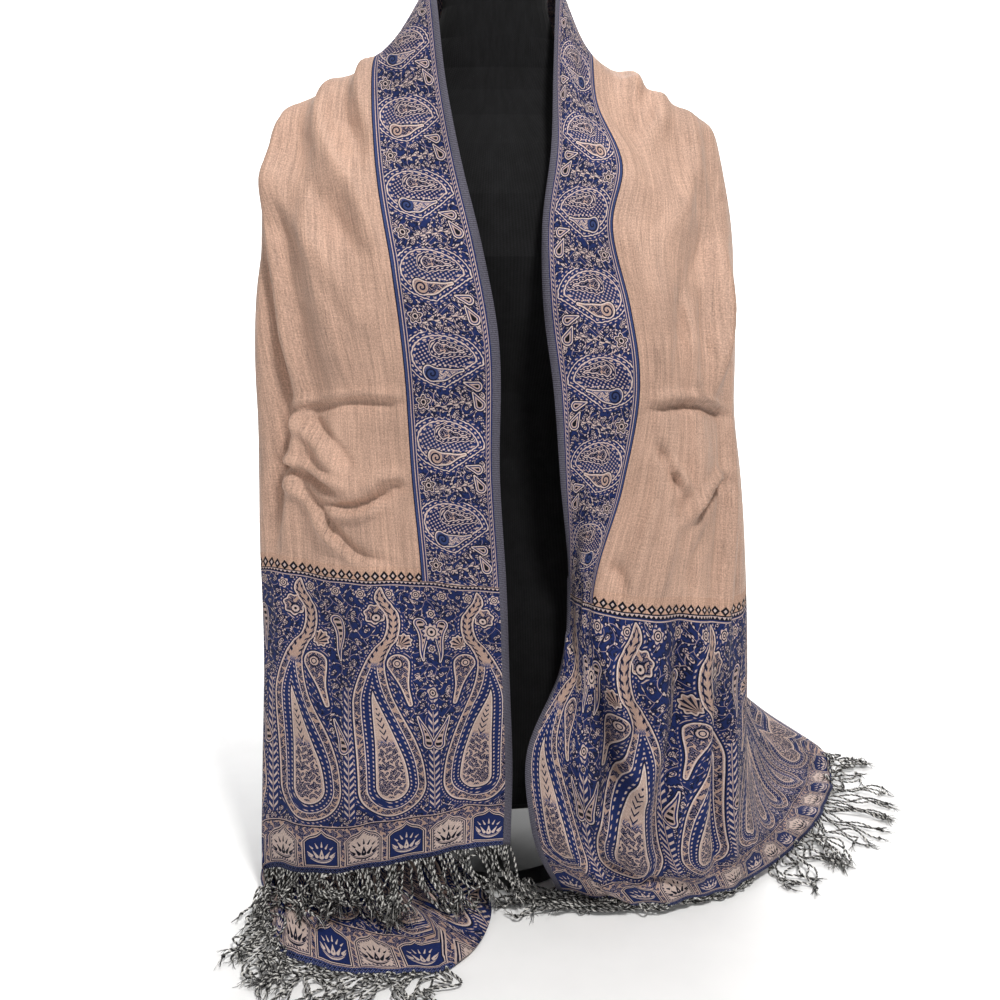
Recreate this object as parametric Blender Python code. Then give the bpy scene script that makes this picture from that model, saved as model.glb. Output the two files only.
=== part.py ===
"""A long woven shawl draped over the shoulders of a limbless dress form.

Metres, +Z up, origin at the centre of the form's base, on its underside.
+X is the right of someone who faces the front, which looks towards -Y.

The shawl is one rectangle of cloth. Its upper long edge runs down one front,
round the back of the neck and down the other front. Each stretch of it is a
thin wall through tables of cross lines: a row for each place down the cloth,
and a named column for each line that runs down it.
"""

import math

import bpy
import numpy as np

MM = 0.001
WALL = 2.0  # thickness of the cloth's wall, mm
SEAM = 0.4  # gap between two stretches, mm
REST = 2.2  # height of the cloth's middle where it lies on the table, mm
FRINGE_WALL = 5.0  # thickness of the solid that holds the fringe, mm

# ---------------------------------------------------------------- dress form
TORSO = (
    # z, half_width, front, back (mm)
    (76, 100, 64, 74),
    (88, 116, 76, 86),
    (112, 132, 85, 96),
    (158, 149, 91, 104),
    (215, 157, 93, 107),
    (300, 148, 88, 98),
    (400, 127, 78, 82),
    (455, 120, 76, 76),
    (520, 128, 86, 78),
    (590, 143, 106, 82),
    (645, 152, 114, 86),
    (700, 160, 98, 90),
    (745, 166, 74, 86),
    (772, 158, 54, 76),
    (795, 124, 44, 68),
    (815, 84, 40, 60),
    (842, 58, 42, 52),
    (870, 50, 43, 48),
    (925, 48, 44, 46),
)
TORSO_SIDES = 36
NECK_CAP = {"bottom": 925.3, "top": 936, "radius": 49, "centre_y": 1}
POLE = {"radius": 16, "bottom": 20.3, "top": 75.7}
BASE = {"radius": 96, "height": 20}

# -------------------------------------------------------------------- shawl
# t is the place down the cloth, 0 at the shoulder ridge and 1 at the hem.
# Each point is x, y, z in mm.
# Left front: the selvedge at the opening, the border strip's inner line, the
# middle of the plain field, and the line where the cloth turns at the side.
FRONT_LEFT = (
    # t, edge, line, middle, side
    (0.000, (-60, 20, 908), (-108, 26, 838), (-157, 20, 806), (-205, 14, 778)),
    (0.070, (-53, -30, 874), (-113, -22, 823), (-162, -24, 796), (-212, -16, 764)),
    (0.170, (-43, -70, 799), (-111, -60, 768), (-170, -58, 745), (-218, -36, 712)),
    (0.260, (-29, -102, 728), (-104, -96, 706), (-170, -88, 688), (-221, -54, 657)),
    (0.355, (-10, -130, 651), (-93, -126, 645), (-166, -112, 630), (-223, -68, 605)),
    (0.437, (3, -139, 581), (-84, -136, 576), (-158, -124, 566), (-224, -76, 545)),
    (0.592, (5, -141, 445), (-75, -139, 447), (-152, -130, 445), (-226, -82, 436)),
    (0.706, (11, -142, 345), (-68, -141, 351), (-150, -133, 353), (-229, -85, 351)),
    (0.810, (14, -143, 255), (-66, -143, 255), (-150, -135, 250), (-232, -88, 244)),
    (0.910, (17, -145, 165), (-65, -145, 155), (-152, -138, 142), (-238, -92, 128)),
    (1.000, (15, -147, 86), (-66, -149, 73), (-154, -142, 50), (-243, -95, 20)),
)
# Right front: the same lines; low down the edge turns in and the panel bulges.
FRONT_RIGHT = (
    # t, edge, line, middle, side
    (0.000, (60, 20, 908), (94, 28, 838), (150, 22, 800), (203, 14, 774)),
    (0.063, (56, -30, 874), (92, -16, 826), (154, -24, 788), (210, -16, 760)),
    (0.144, (52, -68, 803), (94, -58, 776), (160, -58, 744), (216, -36, 710)),
    (0.215, (50, -96, 738), (114, -92, 724), (170, -88, 690), (221, -54, 655)),
    (0.288, (42, -126, 672), (104, -126, 668), (172, -114, 638), (224, -66, 605)),
    (0.356, (43, -138, 606), (121, -138, 600), (178, -126, 582), (227, -72, 547)),
    (0.436, (53, -141, 528), (130, -142, 530), (184, -132, 517), (231, -76, 490)),
    (0.520, (60, -139, 445), (117, -146, 446), (184, -138, 442), (237, -80, 430)),
    (0.640, (70, -112, 331), (90, -148, 331), (176, -148, 322), (246, -90, 312)),
    (0.713, (64, -126, 262), (92, -158, 255), (174, -154, 238), (248, -98, 236)),
    (0.800, (30, -166, 190), (88, -174, 180), (172, -164, 160), (250, -104, 168)),
    (0.873, (34, -162, 118), (95, -164, 98), (182, -152, 86), (256, -102, 94)),
    (1.000, (64, -116, 16), (138, -138, 13), (210, -126, 13), (274, -86, 13)),
)
# Left flank: behind the side line the cloth doubles back under the front
# panel, comes forward on the table, and returns round to the back.
FLANK_LEFT = (
    # t, turn, pleat, corner, inner, flank, rear
    (0.00, (-201, 14, 785), (-196, 15, 791), (-184, 17, 798), (-168, 19, 804), (-144, 22, 818), (-108, 26, 838)),
    (0.12, (-220, -18, 722), (-220, -2, 730), (-217, 26, 736), (-206, 54, 744), (-178, 78, 754), (-126, 98, 768)),
    (0.30, (-223, -44, 608), (-219, -30, 610), (-215, 2, 614), (-210, 42, 620), (-196, 84, 634), (-138, 118, 668)),
    (0.50, (-222, -68, 487), (-210, -58, 474), (-196, -46, 468), (-202, -6, 472), (-210, 66, 500), (-144, 126, 556)),
    (0.70, (-223, -70, 345), (-206, -58, 332), (-180, -66, 320), (-194, -30, 324), (-222, 44, 372), (-150, 132, 440)),
    (0.85, (-229, -77, 188), (-208, -72, 178), (-142, -104, 160), (-142, -76, 164), (-230, 34, 262), (-157, 139, 352)),
    (0.93, (-234, -72, 66), (-213, -82, 30), (-106, -122, 24), (-98, -100, 60), (-234, 26, 202), (-162, 144, 318)),
    (0.97, (-236, -80, 14), (-210, -116, 6), (-66, -160, 5), (-44, -122, 24), (-234, 20, 174), (-165, 146, 302)),
    (1.00, (-233, -120, 4), (-196, -206, 4), (-40, -222, 4), (-4, -124, 6), (-232, 14, 146), (-168, 148, 286)),
)
# Middle of the back.
BACK = (
    # t, centre
    (0.00, (0, 92, 840)),
    (0.12, (0, 126, 766)),
    (0.30, (0, 138, 655)),
    (0.50, (0, 141, 540)),
    (0.70, (0, 142, 425)),
    (0.85, (0, 145, 338)),
    (1.00, (0, 149, 250)),
)
# Right flank: the cloth goes round the side and spreads over the table.
FLANK_RIGHT = (
    # t, rear, flank, corner, fan
    (0.00, (94, 28, 838), (134, 24, 820), (166, 19, 802), (188, 16, 786)),
    (0.12, (124, 98, 768), (180, 74, 754), (210, 40, 738), (217, 2, 730)),
    (0.30, (138, 118, 668), (198, 82, 634), (220, 36, 616), (226, -14, 610)),
    (0.50, (143, 126, 556), (206, 84, 495), (234, 34, 470), (236, -22, 470)),
    (0.70, (149, 132, 440), (214, 90, 362), (248, 42, 306), (246, -28, 318)),
    (0.85, (156, 139, 356), (226, 104, 262), (280, 74, 150), (264, -18, 160)),
    (0.93, (162, 144, 320), (240, 122, 206), (340, 124, 62), (310, 12, 52)),
    (1.00, (168, 148, 284), (258, 150, 150), (430, 196, 8), (386, 58, 8)),
)
COLLAR = (
    # place round the neck from left to right, x, y, z of the upper selvedge
    (0.00, (-60, 20, 908)),
    (0.22, (-50, 55, 914)),
    (0.50, (0, 78, 917)),
    (0.78, (50, 55, 914)),
    (1.00, (60, 20, 908)),
)
FLUTES = {"count": 5, "depth": 9.0}  # soft upright folds across the back
# Steps across the cloth between one named line and the next.
STEPS = (
    # from, to, steps
    ("edge_l", "line_l", 4),
    ("line_l", "side_l", 8),
    ("side_l", "turn_l", 2),
    ("turn_l", "pleat_l", 2),
    ("pleat_l", "corner_l", 3),
    ("corner_l", "inner_l", 3),
    ("inner_l", "flank_l", 4),
    ("flank_l", "rear_l", 3),
    ("rear_l", "rear_r", 12),
    ("rear_r", "flank_r", 3),
    ("flank_r", "corner_r", 4),
    ("corner_r", "fan_r", 3),
    ("fan_r", "side_r", 3),
    ("side_r", "line_r", 8),
    ("line_r", "edge_r", 4),
)
ROWS = ((0.0, 0.64, 17), (0.64, 0.706, 2), (0.706, 0.9, 6), (0.9, 1.0, 5))

# Where the fringe ends: points on the line that the tips reach, mm.
FRINGE_LEFT_FRONT = ((22, -170, 14), (-60, -186, 13), (-140, -180, 14), (-200, -156, 17))
FRINGE_LEFT_TRAIN = ((-262, -250, 5), (-200, -286, 5), (-100, -296, 5), (-24, -270, 5))
FRINGE_RIGHT_TRAIN = ((494, 216, 5), (496, 112, 5), (458, -6, 5), (345, -122, 5))
FRINGE_RIGHT_FRONT = ((258, -16, 5), (184, -50, 5), (116, -84, 5), (-22, -114, 5))


# ------------------------------------------------------------------ helpers
def clear_scene():
    for obj in list(bpy.data.objects):
        bpy.data.objects.remove(obj, do_unlink=True)


def material(name, colour, roughness, metallic=0.0):
    made = bpy.data.materials.new(name)
    made.use_nodes = True
    shader = made.node_tree.nodes["Principled BSDF"]
    shader.inputs["Base Color"].default_value = (*colour, 1.0)
    shader.inputs["Roughness"].default_value = roughness
    shader.inputs["Metallic"].default_value = metallic
    return made


def curve_through(knots, values, at):
    """A smooth curve through values, one for each knot, read at each of at."""
    knots = np.asarray(knots, float)
    values = np.asarray(values, float)
    slope = np.gradient(values, knots, axis=0)
    at = np.clip(np.asarray(at, float), knots[0], knots[-1])
    i = np.clip(np.searchsorted(knots, at, side="right") - 1, 0, len(knots) - 2)
    h = (knots[i + 1] - knots[i])[:, None]
    t = (at - knots[i])[:, None] / h
    flat = values.reshape(len(knots), -1)
    slope = slope.reshape(len(knots), -1)
    out = (
        (2 * t**3 - 3 * t**2 + 1) * flat[i]
        + (t**3 - 2 * t**2 + t) * h * slope[i]
        + (-2 * t**3 + 3 * t**2) * flat[i + 1]
        + (t**3 - t**2) * h * slope[i + 1]
    )
    return out.reshape((len(at),) + values.shape[1:])


def lines_down(table, rows):
    """The table's named lines, read at each of rows: points[row, line, xyz]."""
    return curve_through(
        [row[0] for row in table], [row[1:] for row in table], rows
    )


def even(points, count):
    """count + 1 points at even spacing along a polyline of points."""
    points = np.asarray(points, float)
    run = np.concatenate([[0], np.cumsum(np.linalg.norm(np.diff(points, axis=0), axis=1))])
    at = np.linspace(0, run[-1], count + 1)
    return np.stack([np.interp(at, run, points[:, k]) for k in range(3)], axis=1)


def row_places():
    places = [0.0]
    for start, end, steps in ROWS:
        places += [start + (end - start) * (k + 1) / steps for k in range(steps)]
    return np.array(places)


def normals_of(grid):
    """Unit normals of points[row, column, xyz]."""
    down = np.gradient(grid, axis=0)
    across = np.gradient(grid, axis=1)
    normal = np.cross(across, down)
    return normal / np.maximum(np.linalg.norm(normal, axis=2, keepdims=True), 1e-9)


def whole_cloth():
    """The cloth from the left opening round the back to the right opening.

    Returns the points, the place of each named line, and the rows' places.
    """
    rows = row_places()
    left = lines_down(FRONT_LEFT, rows)
    right = lines_down(FRONT_RIGHT, rows)
    flank_left = lines_down(FLANK_LEFT, rows)
    flank_right = lines_down(FLANK_RIGHT, rows)
    centre = lines_down(BACK, rows)
    columns = np.concatenate(
        [left, flank_left, centre, flank_right, right[:, ::-1]], axis=1
    )
    names = (
        "edge_l line_l middle_l side_l turn_l pleat_l corner_l inner_l flank_l rear_l "
        "centre rear_r flank_r corner_r fan_r side_r middle_r line_r edge_r"
    ).split()
    grid = []
    for line in columns:
        run = np.concatenate(
            [[0], np.cumsum(np.linalg.norm(np.diff(line, axis=0), axis=1) ** 0.7)]
        )
        fine = np.linspace(0, 1, 25)[:-1]
        at = np.concatenate(
            [run[k] + (run[k + 1] - run[k]) * fine for k in range(len(run) - 1)]
            + [run[-1:]]
        )
        curve = curve_through(run, line, at)
        mark = {name: 24 * k for k, name in enumerate(names)}

        parts = [curve[:1]]
        for start, end, steps in STEPS:
            between = curve[mark[start] : mark[end] + 1]
            parts.append(even(between, steps)[1:])
        grid.append(np.concatenate(parts))
    grid = np.array(grid)
    place = {STEPS[0][0]: 0}
    for start, end, steps in STEPS:
        place[end] = place[start] + steps
    return grid, place, rows


def with_flutes(grid, place, rows):
    """Soft upright folds that grow towards the hem across the back."""
    normal = normals_of(grid)
    first, last = place["rear_l"], place["rear_r"]
    for c in range(first, last + 1):
        share = (c - first) / (last - first)
        wave = math.sin(math.pi * FLUTES["count"] * share)
        depth = FLUTES["depth"] * np.clip((rows - 0.15) / 0.85, 0, 1) ** 1.4 * wave
        grid[:, c] -= normal[:, c] * depth[:, None]
    return grid


def mesh_object(name, points, faces, mat):
    mesh = bpy.data.meshes.new(name)
    mesh.from_pydata([tuple(float(v) * MM for v in p) for p in points], [], faces)
    mesh.validate()
    mesh.materials.append(mat)
    mesh.shade_smooth()
    mesh.set_sharp_from_angle(angle=math.radians(50))
    obj = bpy.data.objects.new(name, mesh)
    bpy.context.scene.collection.objects.link(obj)
    return obj


def drawn_in(grid, sides):
    """The grid with the named borders drawn in by half a seam."""
    grid = grid.copy()
    half = SEAM / 2

    def move(edge, inner):
        step = inner - edge
        return edge + step / np.maximum(np.linalg.norm(step, axis=1, keepdims=True), 1e-9) * half

    if "top" in sides:
        grid[0] = move(grid[0], grid[1])
    if "bottom" in sides:
        grid[-1] = move(grid[-1], grid[-2])
    if "first" in sides:
        grid[:, 0] = move(grid[:, 0], grid[:, 1])
    if "last" in sides:
        grid[:, -1] = move(grid[:, -1], grid[:, -2])
    return grid


def wall(name, grid, normal, mat, sides="", thickness=WALL):
    """A closed wall of even thickness through points[row, column, xyz]."""
    grid = drawn_in(grid, sides.split())
    rows, columns = grid.shape[:2]
    outer = grid + normal * thickness / 2
    inner = grid - normal * thickness / 2
    points = np.concatenate([outer.reshape(-1, 3), inner.reshape(-1, 3)])
    many = rows * columns
    faces = []

    def quad(a, b, c, d):
        faces.append((a, c, b))
        faces.append((a, d, c))

    for r in range(rows - 1):
        for c in range(columns - 1):
            a, b = r * columns + c, r * columns + c + 1
            d, e = a + columns, b + columns
            quad(a, d, e, b)
            quad(a + many, b + many, e + many, d + many)
    for c in range(columns - 1):
        a, b = c, c + 1
        quad(a, b, b + many, a + many)
        a, b = (rows - 1) * columns + c, (rows - 1) * columns + c + 1
        quad(b, a, a + many, b + many)
    for r in range(rows - 1):
        a, b = r * columns, (r + 1) * columns
        quad(b, a, a + many, b + many)
        a, b = a + columns - 1, b + columns - 1
        quad(a, b, b + many, a + many)
    return mesh_object(name, points, faces, mat)


# --------------------------------------------------------------- dress form
def torso(mat):
    rings = []
    for z, half, front, back in TORSO:
        ring = []
        for k in range(TORSO_SIDES):
            turn = 2 * math.pi * k / TORSO_SIDES
            c, s = math.cos(turn), math.sin(turn)
            x = half * math.copysign(abs(c) ** 0.92, c)
            y = (back if s > 0 else front) * math.copysign(abs(s) ** 0.92, s)
            ring.append((x, y, z))
        rings.append(ring)
    points = [p for ring in rings for p in ring]
    n = TORSO_SIDES
    faces = []
    for r in range(len(rings) - 1):
        for k in range(n):
            a, b = r * n + k, r * n + (k + 1) % n
            faces.append((a, b, b + n, a + n))
    faces.append(tuple(reversed(range(n))))
    faces.append(tuple(range((len(rings) - 1) * n, len(rings) * n)))
    return mesh_object("form_torso", points, faces, mat)


def disc(name, radius, bottom, top, bevel, mat, centre_y=0.0, sides=36):
    """A turned disc or rod with rounded edges."""
    profile = [
        (radius - bevel, bottom),
        (radius, bottom + bevel),
        (radius, top - bevel),
        (radius - bevel, top),
    ]
    points, faces = [], []
    for r, z in profile:
        for k in range(sides):
            turn = 2 * math.pi * k / sides
            points.append((r * math.cos(turn), centre_y + r * math.sin(turn), z))
    for j in range(3):
        for k in range(sides):
            a, b = j * sides + k, j * sides + (k + 1) % sides
            faces.append((a, b, b + sides, a + sides))
    faces.append(tuple(reversed(range(sides))))
    faces.append(tuple(range(3 * sides, 4 * sides)))
    return mesh_object(name, points, faces, mat)


# -------------------------------------------------------------------- build
def unit(vectors):
    return vectors / np.maximum(np.linalg.norm(vectors, axis=-1, keepdims=True), 1e-9)


def along(values, count):
    """Unit vectors read at count + 1 even places along a row of vectors."""
    at = np.linspace(0, len(values) - 1, count + 1)
    i = np.minimum(at.astype(int), len(values) - 2)
    f = (at - i)[:, None]
    return unit(values[i] * (1 - f) + values[i + 1] * f)


def shawl():
    """The whole cloth and the collar, as points and normals that agree where
    two stretches meet."""
    grid, place, rows = whole_cloth()
    el, ll, sl, rl = (place[k] for k in ("edge_l", "line_l", "side_l", "rear_l"))
    er, lr, sr, rr = (place[k] for k in ("edge_r", "line_r", "side_r", "rear_r"))
    # On the shoulder ridge the back half of the cloth meets the front half.
    grid[0, sl : rl + 1] = even(grid[0, ll : sl + 1][::-1], rl - sl)
    grid[0, rr : sr + 1] = even(grid[0, sr : lr + 1][::-1], sr - rr)
    grid = with_flutes(grid, place, rows)
    grid[..., 2] = np.maximum(grid[..., 2], REST)
    normal = normals_of(grid)
    for front, back in (((ll, sl), (sl, rl)), ((sr, lr), (rr, sr))):
        there = normal[0, front[0] : front[1] + 1]
        here = normal[0, back[0] : back[1] + 1]
        count = 24
        both = unit(along(there, count) + along(here[::-1], count))
        normal[0, front[0] : front[1] + 1] = along(both, front[1] - front[0])
        normal[0, back[0] : back[1] + 1] = along(both[::-1], back[1] - back[0])

    # The border strip where it stands up round the back of the neck.
    low = grid[0, rl : rr + 1]
    turn = np.linspace(0, 1, len(low))
    high = curve_through([row[0] for row in COLLAR], [row[1] for row in COLLAR], turn)
    rise = np.linspace(0, 1, ll - el + 1)[:, None, None]
    collar = high[None] * (1 - rise) + low[None] * rise
    collar[:, 0] = grid[0, el : ll + 1]
    collar[:, -1] = grid[0, lr : er + 1][::-1]
    stand = normals_of(collar)
    stand[:, 0] = normal[0, el : ll + 1] = unit(stand[:, 0] + normal[0, el : ll + 1])
    stand[:, -1] = unit(stand[:, -1] + normal[0, lr : er + 1][::-1])
    normal[0, lr : er + 1] = stand[:, -1][::-1]
    stand[-1] = normal[0, rl : rr + 1] = unit(stand[-1] + normal[0, rl : rr + 1])
    for corner, far, near in ((0, ll, rl), (-1, lr, rr)):
        shared = unit(stand[-1, corner] + normal[0, far] + normal[0, near])
        stand[-1, corner] = normal[0, far] = normal[0, near] = shared
    return grid, normal, collar, stand, place, rows


def fringe(name, hem, tips, mat, lies=True):
    """A plain solid of the space that a stretch of fringe fills; it hangs, or
    lies on the table."""
    tips = np.asarray(tips, float)
    run = np.linspace(0, 1, len(tips))
    far = curve_through(run, tips, np.linspace(0, 1, len(hem)))
    rise = np.linspace(0, 1, 4)[:, None, None]
    start = hem + unit(far - hem) * (SEAM + 1.0)
    grid = start[None] * (1 - rise) + far[None] * rise
    if not lies:
        wall(name, grid, normals_of(grid), mat, thickness=FRINGE_WALL)
        return
    grid[..., 2] = far[None, :, 2]
    if normals_of(grid)[..., 2].mean() < 0:
        grid = grid[:, ::-1]
    upward = np.zeros_like(grid)
    upward[..., 2] = 1.0
    wall(name, grid, upward, mat, thickness=FRINGE_WALL)


def main():
    clear_scene()
    field = material("field_cloth", (0.55, 0.36, 0.25), 0.55)
    border = material("border_cloth", (0.06, 0.09, 0.35), 0.6)
    yarn = material("fringe_yarn", (0.18, 0.18, 0.19), 0.8)
    jersey = material("form_jersey", (0.012, 0.012, 0.014), 0.85)
    enamel = material("stand_enamel", (0.015, 0.015, 0.016), 0.35)

    torso(jersey)
    disc("form_neck_cap", NECK_CAP["radius"], NECK_CAP["bottom"], NECK_CAP["top"], 3, enamel, NECK_CAP["centre_y"])
    disc("form_pole", POLE["radius"], POLE["bottom"], POLE["top"], 1, enamel, sides=24)
    disc("form_base", BASE["radius"], 0, BASE["height"], 3, enamel, sides=48)

    grid, normal, collar, stand, place, rows = shawl()
    row_l = int(np.argmin(abs(rows - 0.706)))
    row_r = int(np.argmin(abs(rows - 0.64)))
    last = len(rows) - 1

    def piece(name, down, across, mat, sides):
        part = np.s_[down[0] : down[1] + 1, across[0] : across[1] + 1]
        wall(name, grid[part], normal[part], mat, sides)

    front_l = place["edge_l"], place["side_l"]
    pleat_l = place["side_l"], place["inner_l"]
    flank_l = place["inner_l"], place["rear_l"]
    middle = place["rear_l"], place["rear_r"]
    flank_r = place["rear_r"], place["corner_r"]
    fan_r = place["corner_r"], place["side_r"]
    around_r = place["rear_r"], place["side_r"]
    front_r = place["side_r"], place["edge_r"]
    piece("shawl_front_left", (0, row_l), front_l, field, "top bottom last")
    piece("shawl_end_left", (row_l, last), front_l, border, "top last")
    piece("shawl_side_left", (0, last), flank_l, field, "top first last")
    # Low down, the fold at the side stands a little open behind the panel.
    open_by = np.clip((rows - 0.8) / 0.1, 0, 1)[:, None] * np.array((6.0, 8.0, -12.0))
    grid[:, pleat_l[0]] += open_by
    piece("shawl_train_left", (0, last), pleat_l, border, "top first last")
    grid[:, pleat_l[0]] -= open_by
    piece("shawl_back", (0, last), middle, field, "top first last")
    piece("shawl_side_right", (0, row_r), around_r, field, "top bottom first last")
    piece("shawl_flank_right", (row_r, last), flank_r, field, "top first last")
    piece("shawl_train_right", (row_r, last), fan_r, border, "top first last")
    piece("shawl_front_right", (0, row_r), front_r, field, "top bottom first")
    piece("shawl_end_right", (row_r, last), front_r, border, "top first")
    wall("shawl_collar", collar, stand, border, "bottom first last")

    hem = grid[-1]
    fringe("fringe_left_front", hem[: place["side_l"] - 1], FRINGE_LEFT_FRONT, yarn, lies=False)
    fringe("fringe_left_train", hem[place["side_l"] + 2 : place["corner_l"] + 1], FRINGE_LEFT_TRAIN, yarn)
    fringe("fringe_right_train", hem[place["corner_r"] : place["side_r"]], FRINGE_RIGHT_TRAIN, yarn)
    fringe("fringe_right_front", hem[place["side_r"] :], FRINGE_RIGHT_FRONT, yarn)


main()
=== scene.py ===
"""The looks of a woven shawl draped over a limbless dress form.

Metres, +Z up, the form's base centred on the origin, the front towards -Y.
The cloth is one sheet: a shell through tables of cross lines that run down it,
with its folds, creases and selvedges added, and a pattern that is drawn in
the cloth's own coordinates: v across it from the upper selvedge, and a along
it from the fringed end.
"""

import math

import bpy
import numpy as np
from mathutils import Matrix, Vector
from mathutils.bvhtree import BVHTree


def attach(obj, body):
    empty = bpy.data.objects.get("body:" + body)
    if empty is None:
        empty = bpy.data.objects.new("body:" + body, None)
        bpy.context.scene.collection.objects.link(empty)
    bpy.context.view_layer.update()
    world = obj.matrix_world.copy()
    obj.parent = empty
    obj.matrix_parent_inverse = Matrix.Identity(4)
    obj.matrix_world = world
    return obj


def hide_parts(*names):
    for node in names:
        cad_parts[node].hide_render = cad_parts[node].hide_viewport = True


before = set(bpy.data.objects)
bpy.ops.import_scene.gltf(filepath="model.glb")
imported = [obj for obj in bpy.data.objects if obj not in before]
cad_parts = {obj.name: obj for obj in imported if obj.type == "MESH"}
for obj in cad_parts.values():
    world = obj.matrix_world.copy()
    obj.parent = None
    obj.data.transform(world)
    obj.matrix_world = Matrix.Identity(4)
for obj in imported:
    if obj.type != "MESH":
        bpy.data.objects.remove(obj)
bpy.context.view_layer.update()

MM = 0.001

# ------------------------------------------------------------------- camera
view = bpy.data.cameras.new("view")
view.sensor_fit = "HORIZONTAL"
view.sensor_width = 36.0
view.lens = 38.88
camera = bpy.data.objects.new("view", view)
camera.location = (0.005, -1.1, 0.65)
camera.rotation_euler = (math.radians(77.0), 0.0, 0.0)
bpy.context.scene.collection.objects.link(camera)
bpy.context.scene.camera = camera

# ------------------------------------------------------------ sizes of cloth
WIDTH = 0.70  # across the cloth, selvedge to selvedge
STRIP = 0.088  # width of the patterned border along each selvedge
PANEL = 0.300  # height of the patterned panel at each end
SHEET = 0.9 * MM  # thickness of the woven cloth
REST = 2.2  # lowest height of the cloth's middle, mm

# Tables of the cloth's form: t is the place down the cloth, 0 at the shoulder
# ridge and 1 at the hem. Each point is x, y, z in mm.
FRONT_LEFT = (
    # t, edge, line, middle, side
    (0.000, (-60, 20, 908), (-108, 26, 838), (-157, 20, 806), (-205, 14, 778)),
    (0.070, (-53, -30, 874), (-113, -22, 823), (-162, -24, 796), (-212, -16, 764)),
    (0.170, (-43, -70, 799), (-111, -60, 768), (-170, -58, 745), (-218, -36, 712)),
    (0.260, (-29, -102, 728), (-104, -96, 706), (-170, -88, 688), (-221, -54, 657)),
    (0.355, (-10, -130, 651), (-93, -126, 645), (-166, -112, 630), (-223, -68, 605)),
    (0.437, (3, -139, 581), (-84, -136, 576), (-158, -124, 566), (-224, -76, 545)),
    (0.592, (5, -141, 445), (-75, -139, 447), (-152, -130, 445), (-226, -82, 436)),
    (0.706, (11, -142, 345), (-68, -141, 351), (-150, -133, 353), (-229, -85, 351)),
    (0.810, (14, -143, 255), (-66, -143, 255), (-150, -135, 250), (-232, -88, 244)),
    (0.910, (17, -145, 165), (-65, -145, 155), (-152, -138, 142), (-238, -92, 128)),
    (1.000, (15, -147, 86), (-66, -149, 73), (-154, -142, 50), (-243, -95, 20)),
)
FRONT_RIGHT = (
    # t, edge, line, middle, side
    (0.000, (60, 20, 908), (94, 28, 838), (150, 22, 800), (203, 14, 774)),
    (0.063, (56, -30, 874), (92, -16, 826), (154, -24, 788), (210, -16, 760)),
    (0.144, (52, -68, 803), (94, -58, 776), (160, -58, 744), (216, -36, 710)),
    (0.215, (50, -96, 738), (114, -92, 724), (170, -88, 690), (221, -54, 655)),
    (0.288, (42, -126, 672), (104, -126, 668), (172, -114, 638), (224, -66, 605)),
    (0.356, (43, -138, 606), (121, -138, 600), (178, -126, 582), (227, -72, 547)),
    (0.436, (53, -141, 528), (130, -142, 530), (184, -132, 517), (231, -76, 490)),
    (0.520, (60, -139, 445), (117, -146, 446), (184, -138, 442), (237, -80, 430)),
    (0.640, (70, -112, 331), (90, -148, 331), (176, -148, 322), (246, -90, 312)),
    (0.713, (64, -126, 262), (92, -158, 255), (174, -154, 238), (248, -98, 236)),
    (0.800, (30, -166, 190), (88, -174, 180), (172, -164, 160), (250, -104, 168)),
    (0.873, (34, -162, 118), (95, -164, 98), (182, -152, 86), (256, -102, 94)),
    (1.000, (64, -116, 16), (138, -138, 13), (210, -126, 13), (274, -86, 13)),
)
FLANK_LEFT = (
    # t, turn, pleat, corner, inner, flank, rear
    (0.00, (-201, 14, 785), (-196, 15, 791), (-184, 17, 798), (-168, 19, 804), (-144, 22, 818), (-108, 26, 838)),
    (0.12, (-220, -18, 722), (-220, -2, 730), (-217, 26, 736), (-206, 54, 744), (-178, 78, 754), (-126, 98, 768)),
    (0.30, (-223, -44, 608), (-219, -30, 610), (-215, 2, 614), (-210, 42, 620), (-196, 84, 634), (-138, 118, 668)),
    (0.50, (-222, -68, 487), (-210, -58, 474), (-196, -46, 468), (-202, -6, 472), (-210, 66, 500), (-144, 126, 556)),
    (0.70, (-223, -70, 345), (-206, -58, 332), (-180, -66, 320), (-194, -30, 324), (-222, 44, 372), (-150, 132, 440)),
    (0.85, (-229, -77, 188), (-208, -72, 178), (-142, -104, 160), (-142, -76, 164), (-230, 34, 262), (-157, 139, 352)),
    (0.93, (-234, -72, 66), (-213, -82, 30), (-106, -122, 24), (-98, -100, 60), (-234, 26, 202), (-162, 144, 318)),
    (0.97, (-236, -80, 14), (-210, -116, 6), (-66, -160, 5), (-44, -122, 24), (-234, 20, 174), (-165, 146, 302)),
    (1.00, (-233, -120, 4), (-196, -206, 4), (-40, -222, 4), (-4, -124, 6), (-232, 14, 146), (-168, 148, 286)),
)
BACK = (
    # t, centre
    (0.00, (0, 92, 840)),
    (0.12, (0, 126, 766)),
    (0.30, (0, 138, 655)),
    (0.50, (0, 141, 540)),
    (0.70, (0, 142, 425)),
    (0.85, (0, 145, 338)),
    (1.00, (0, 149, 250)),
)
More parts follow.
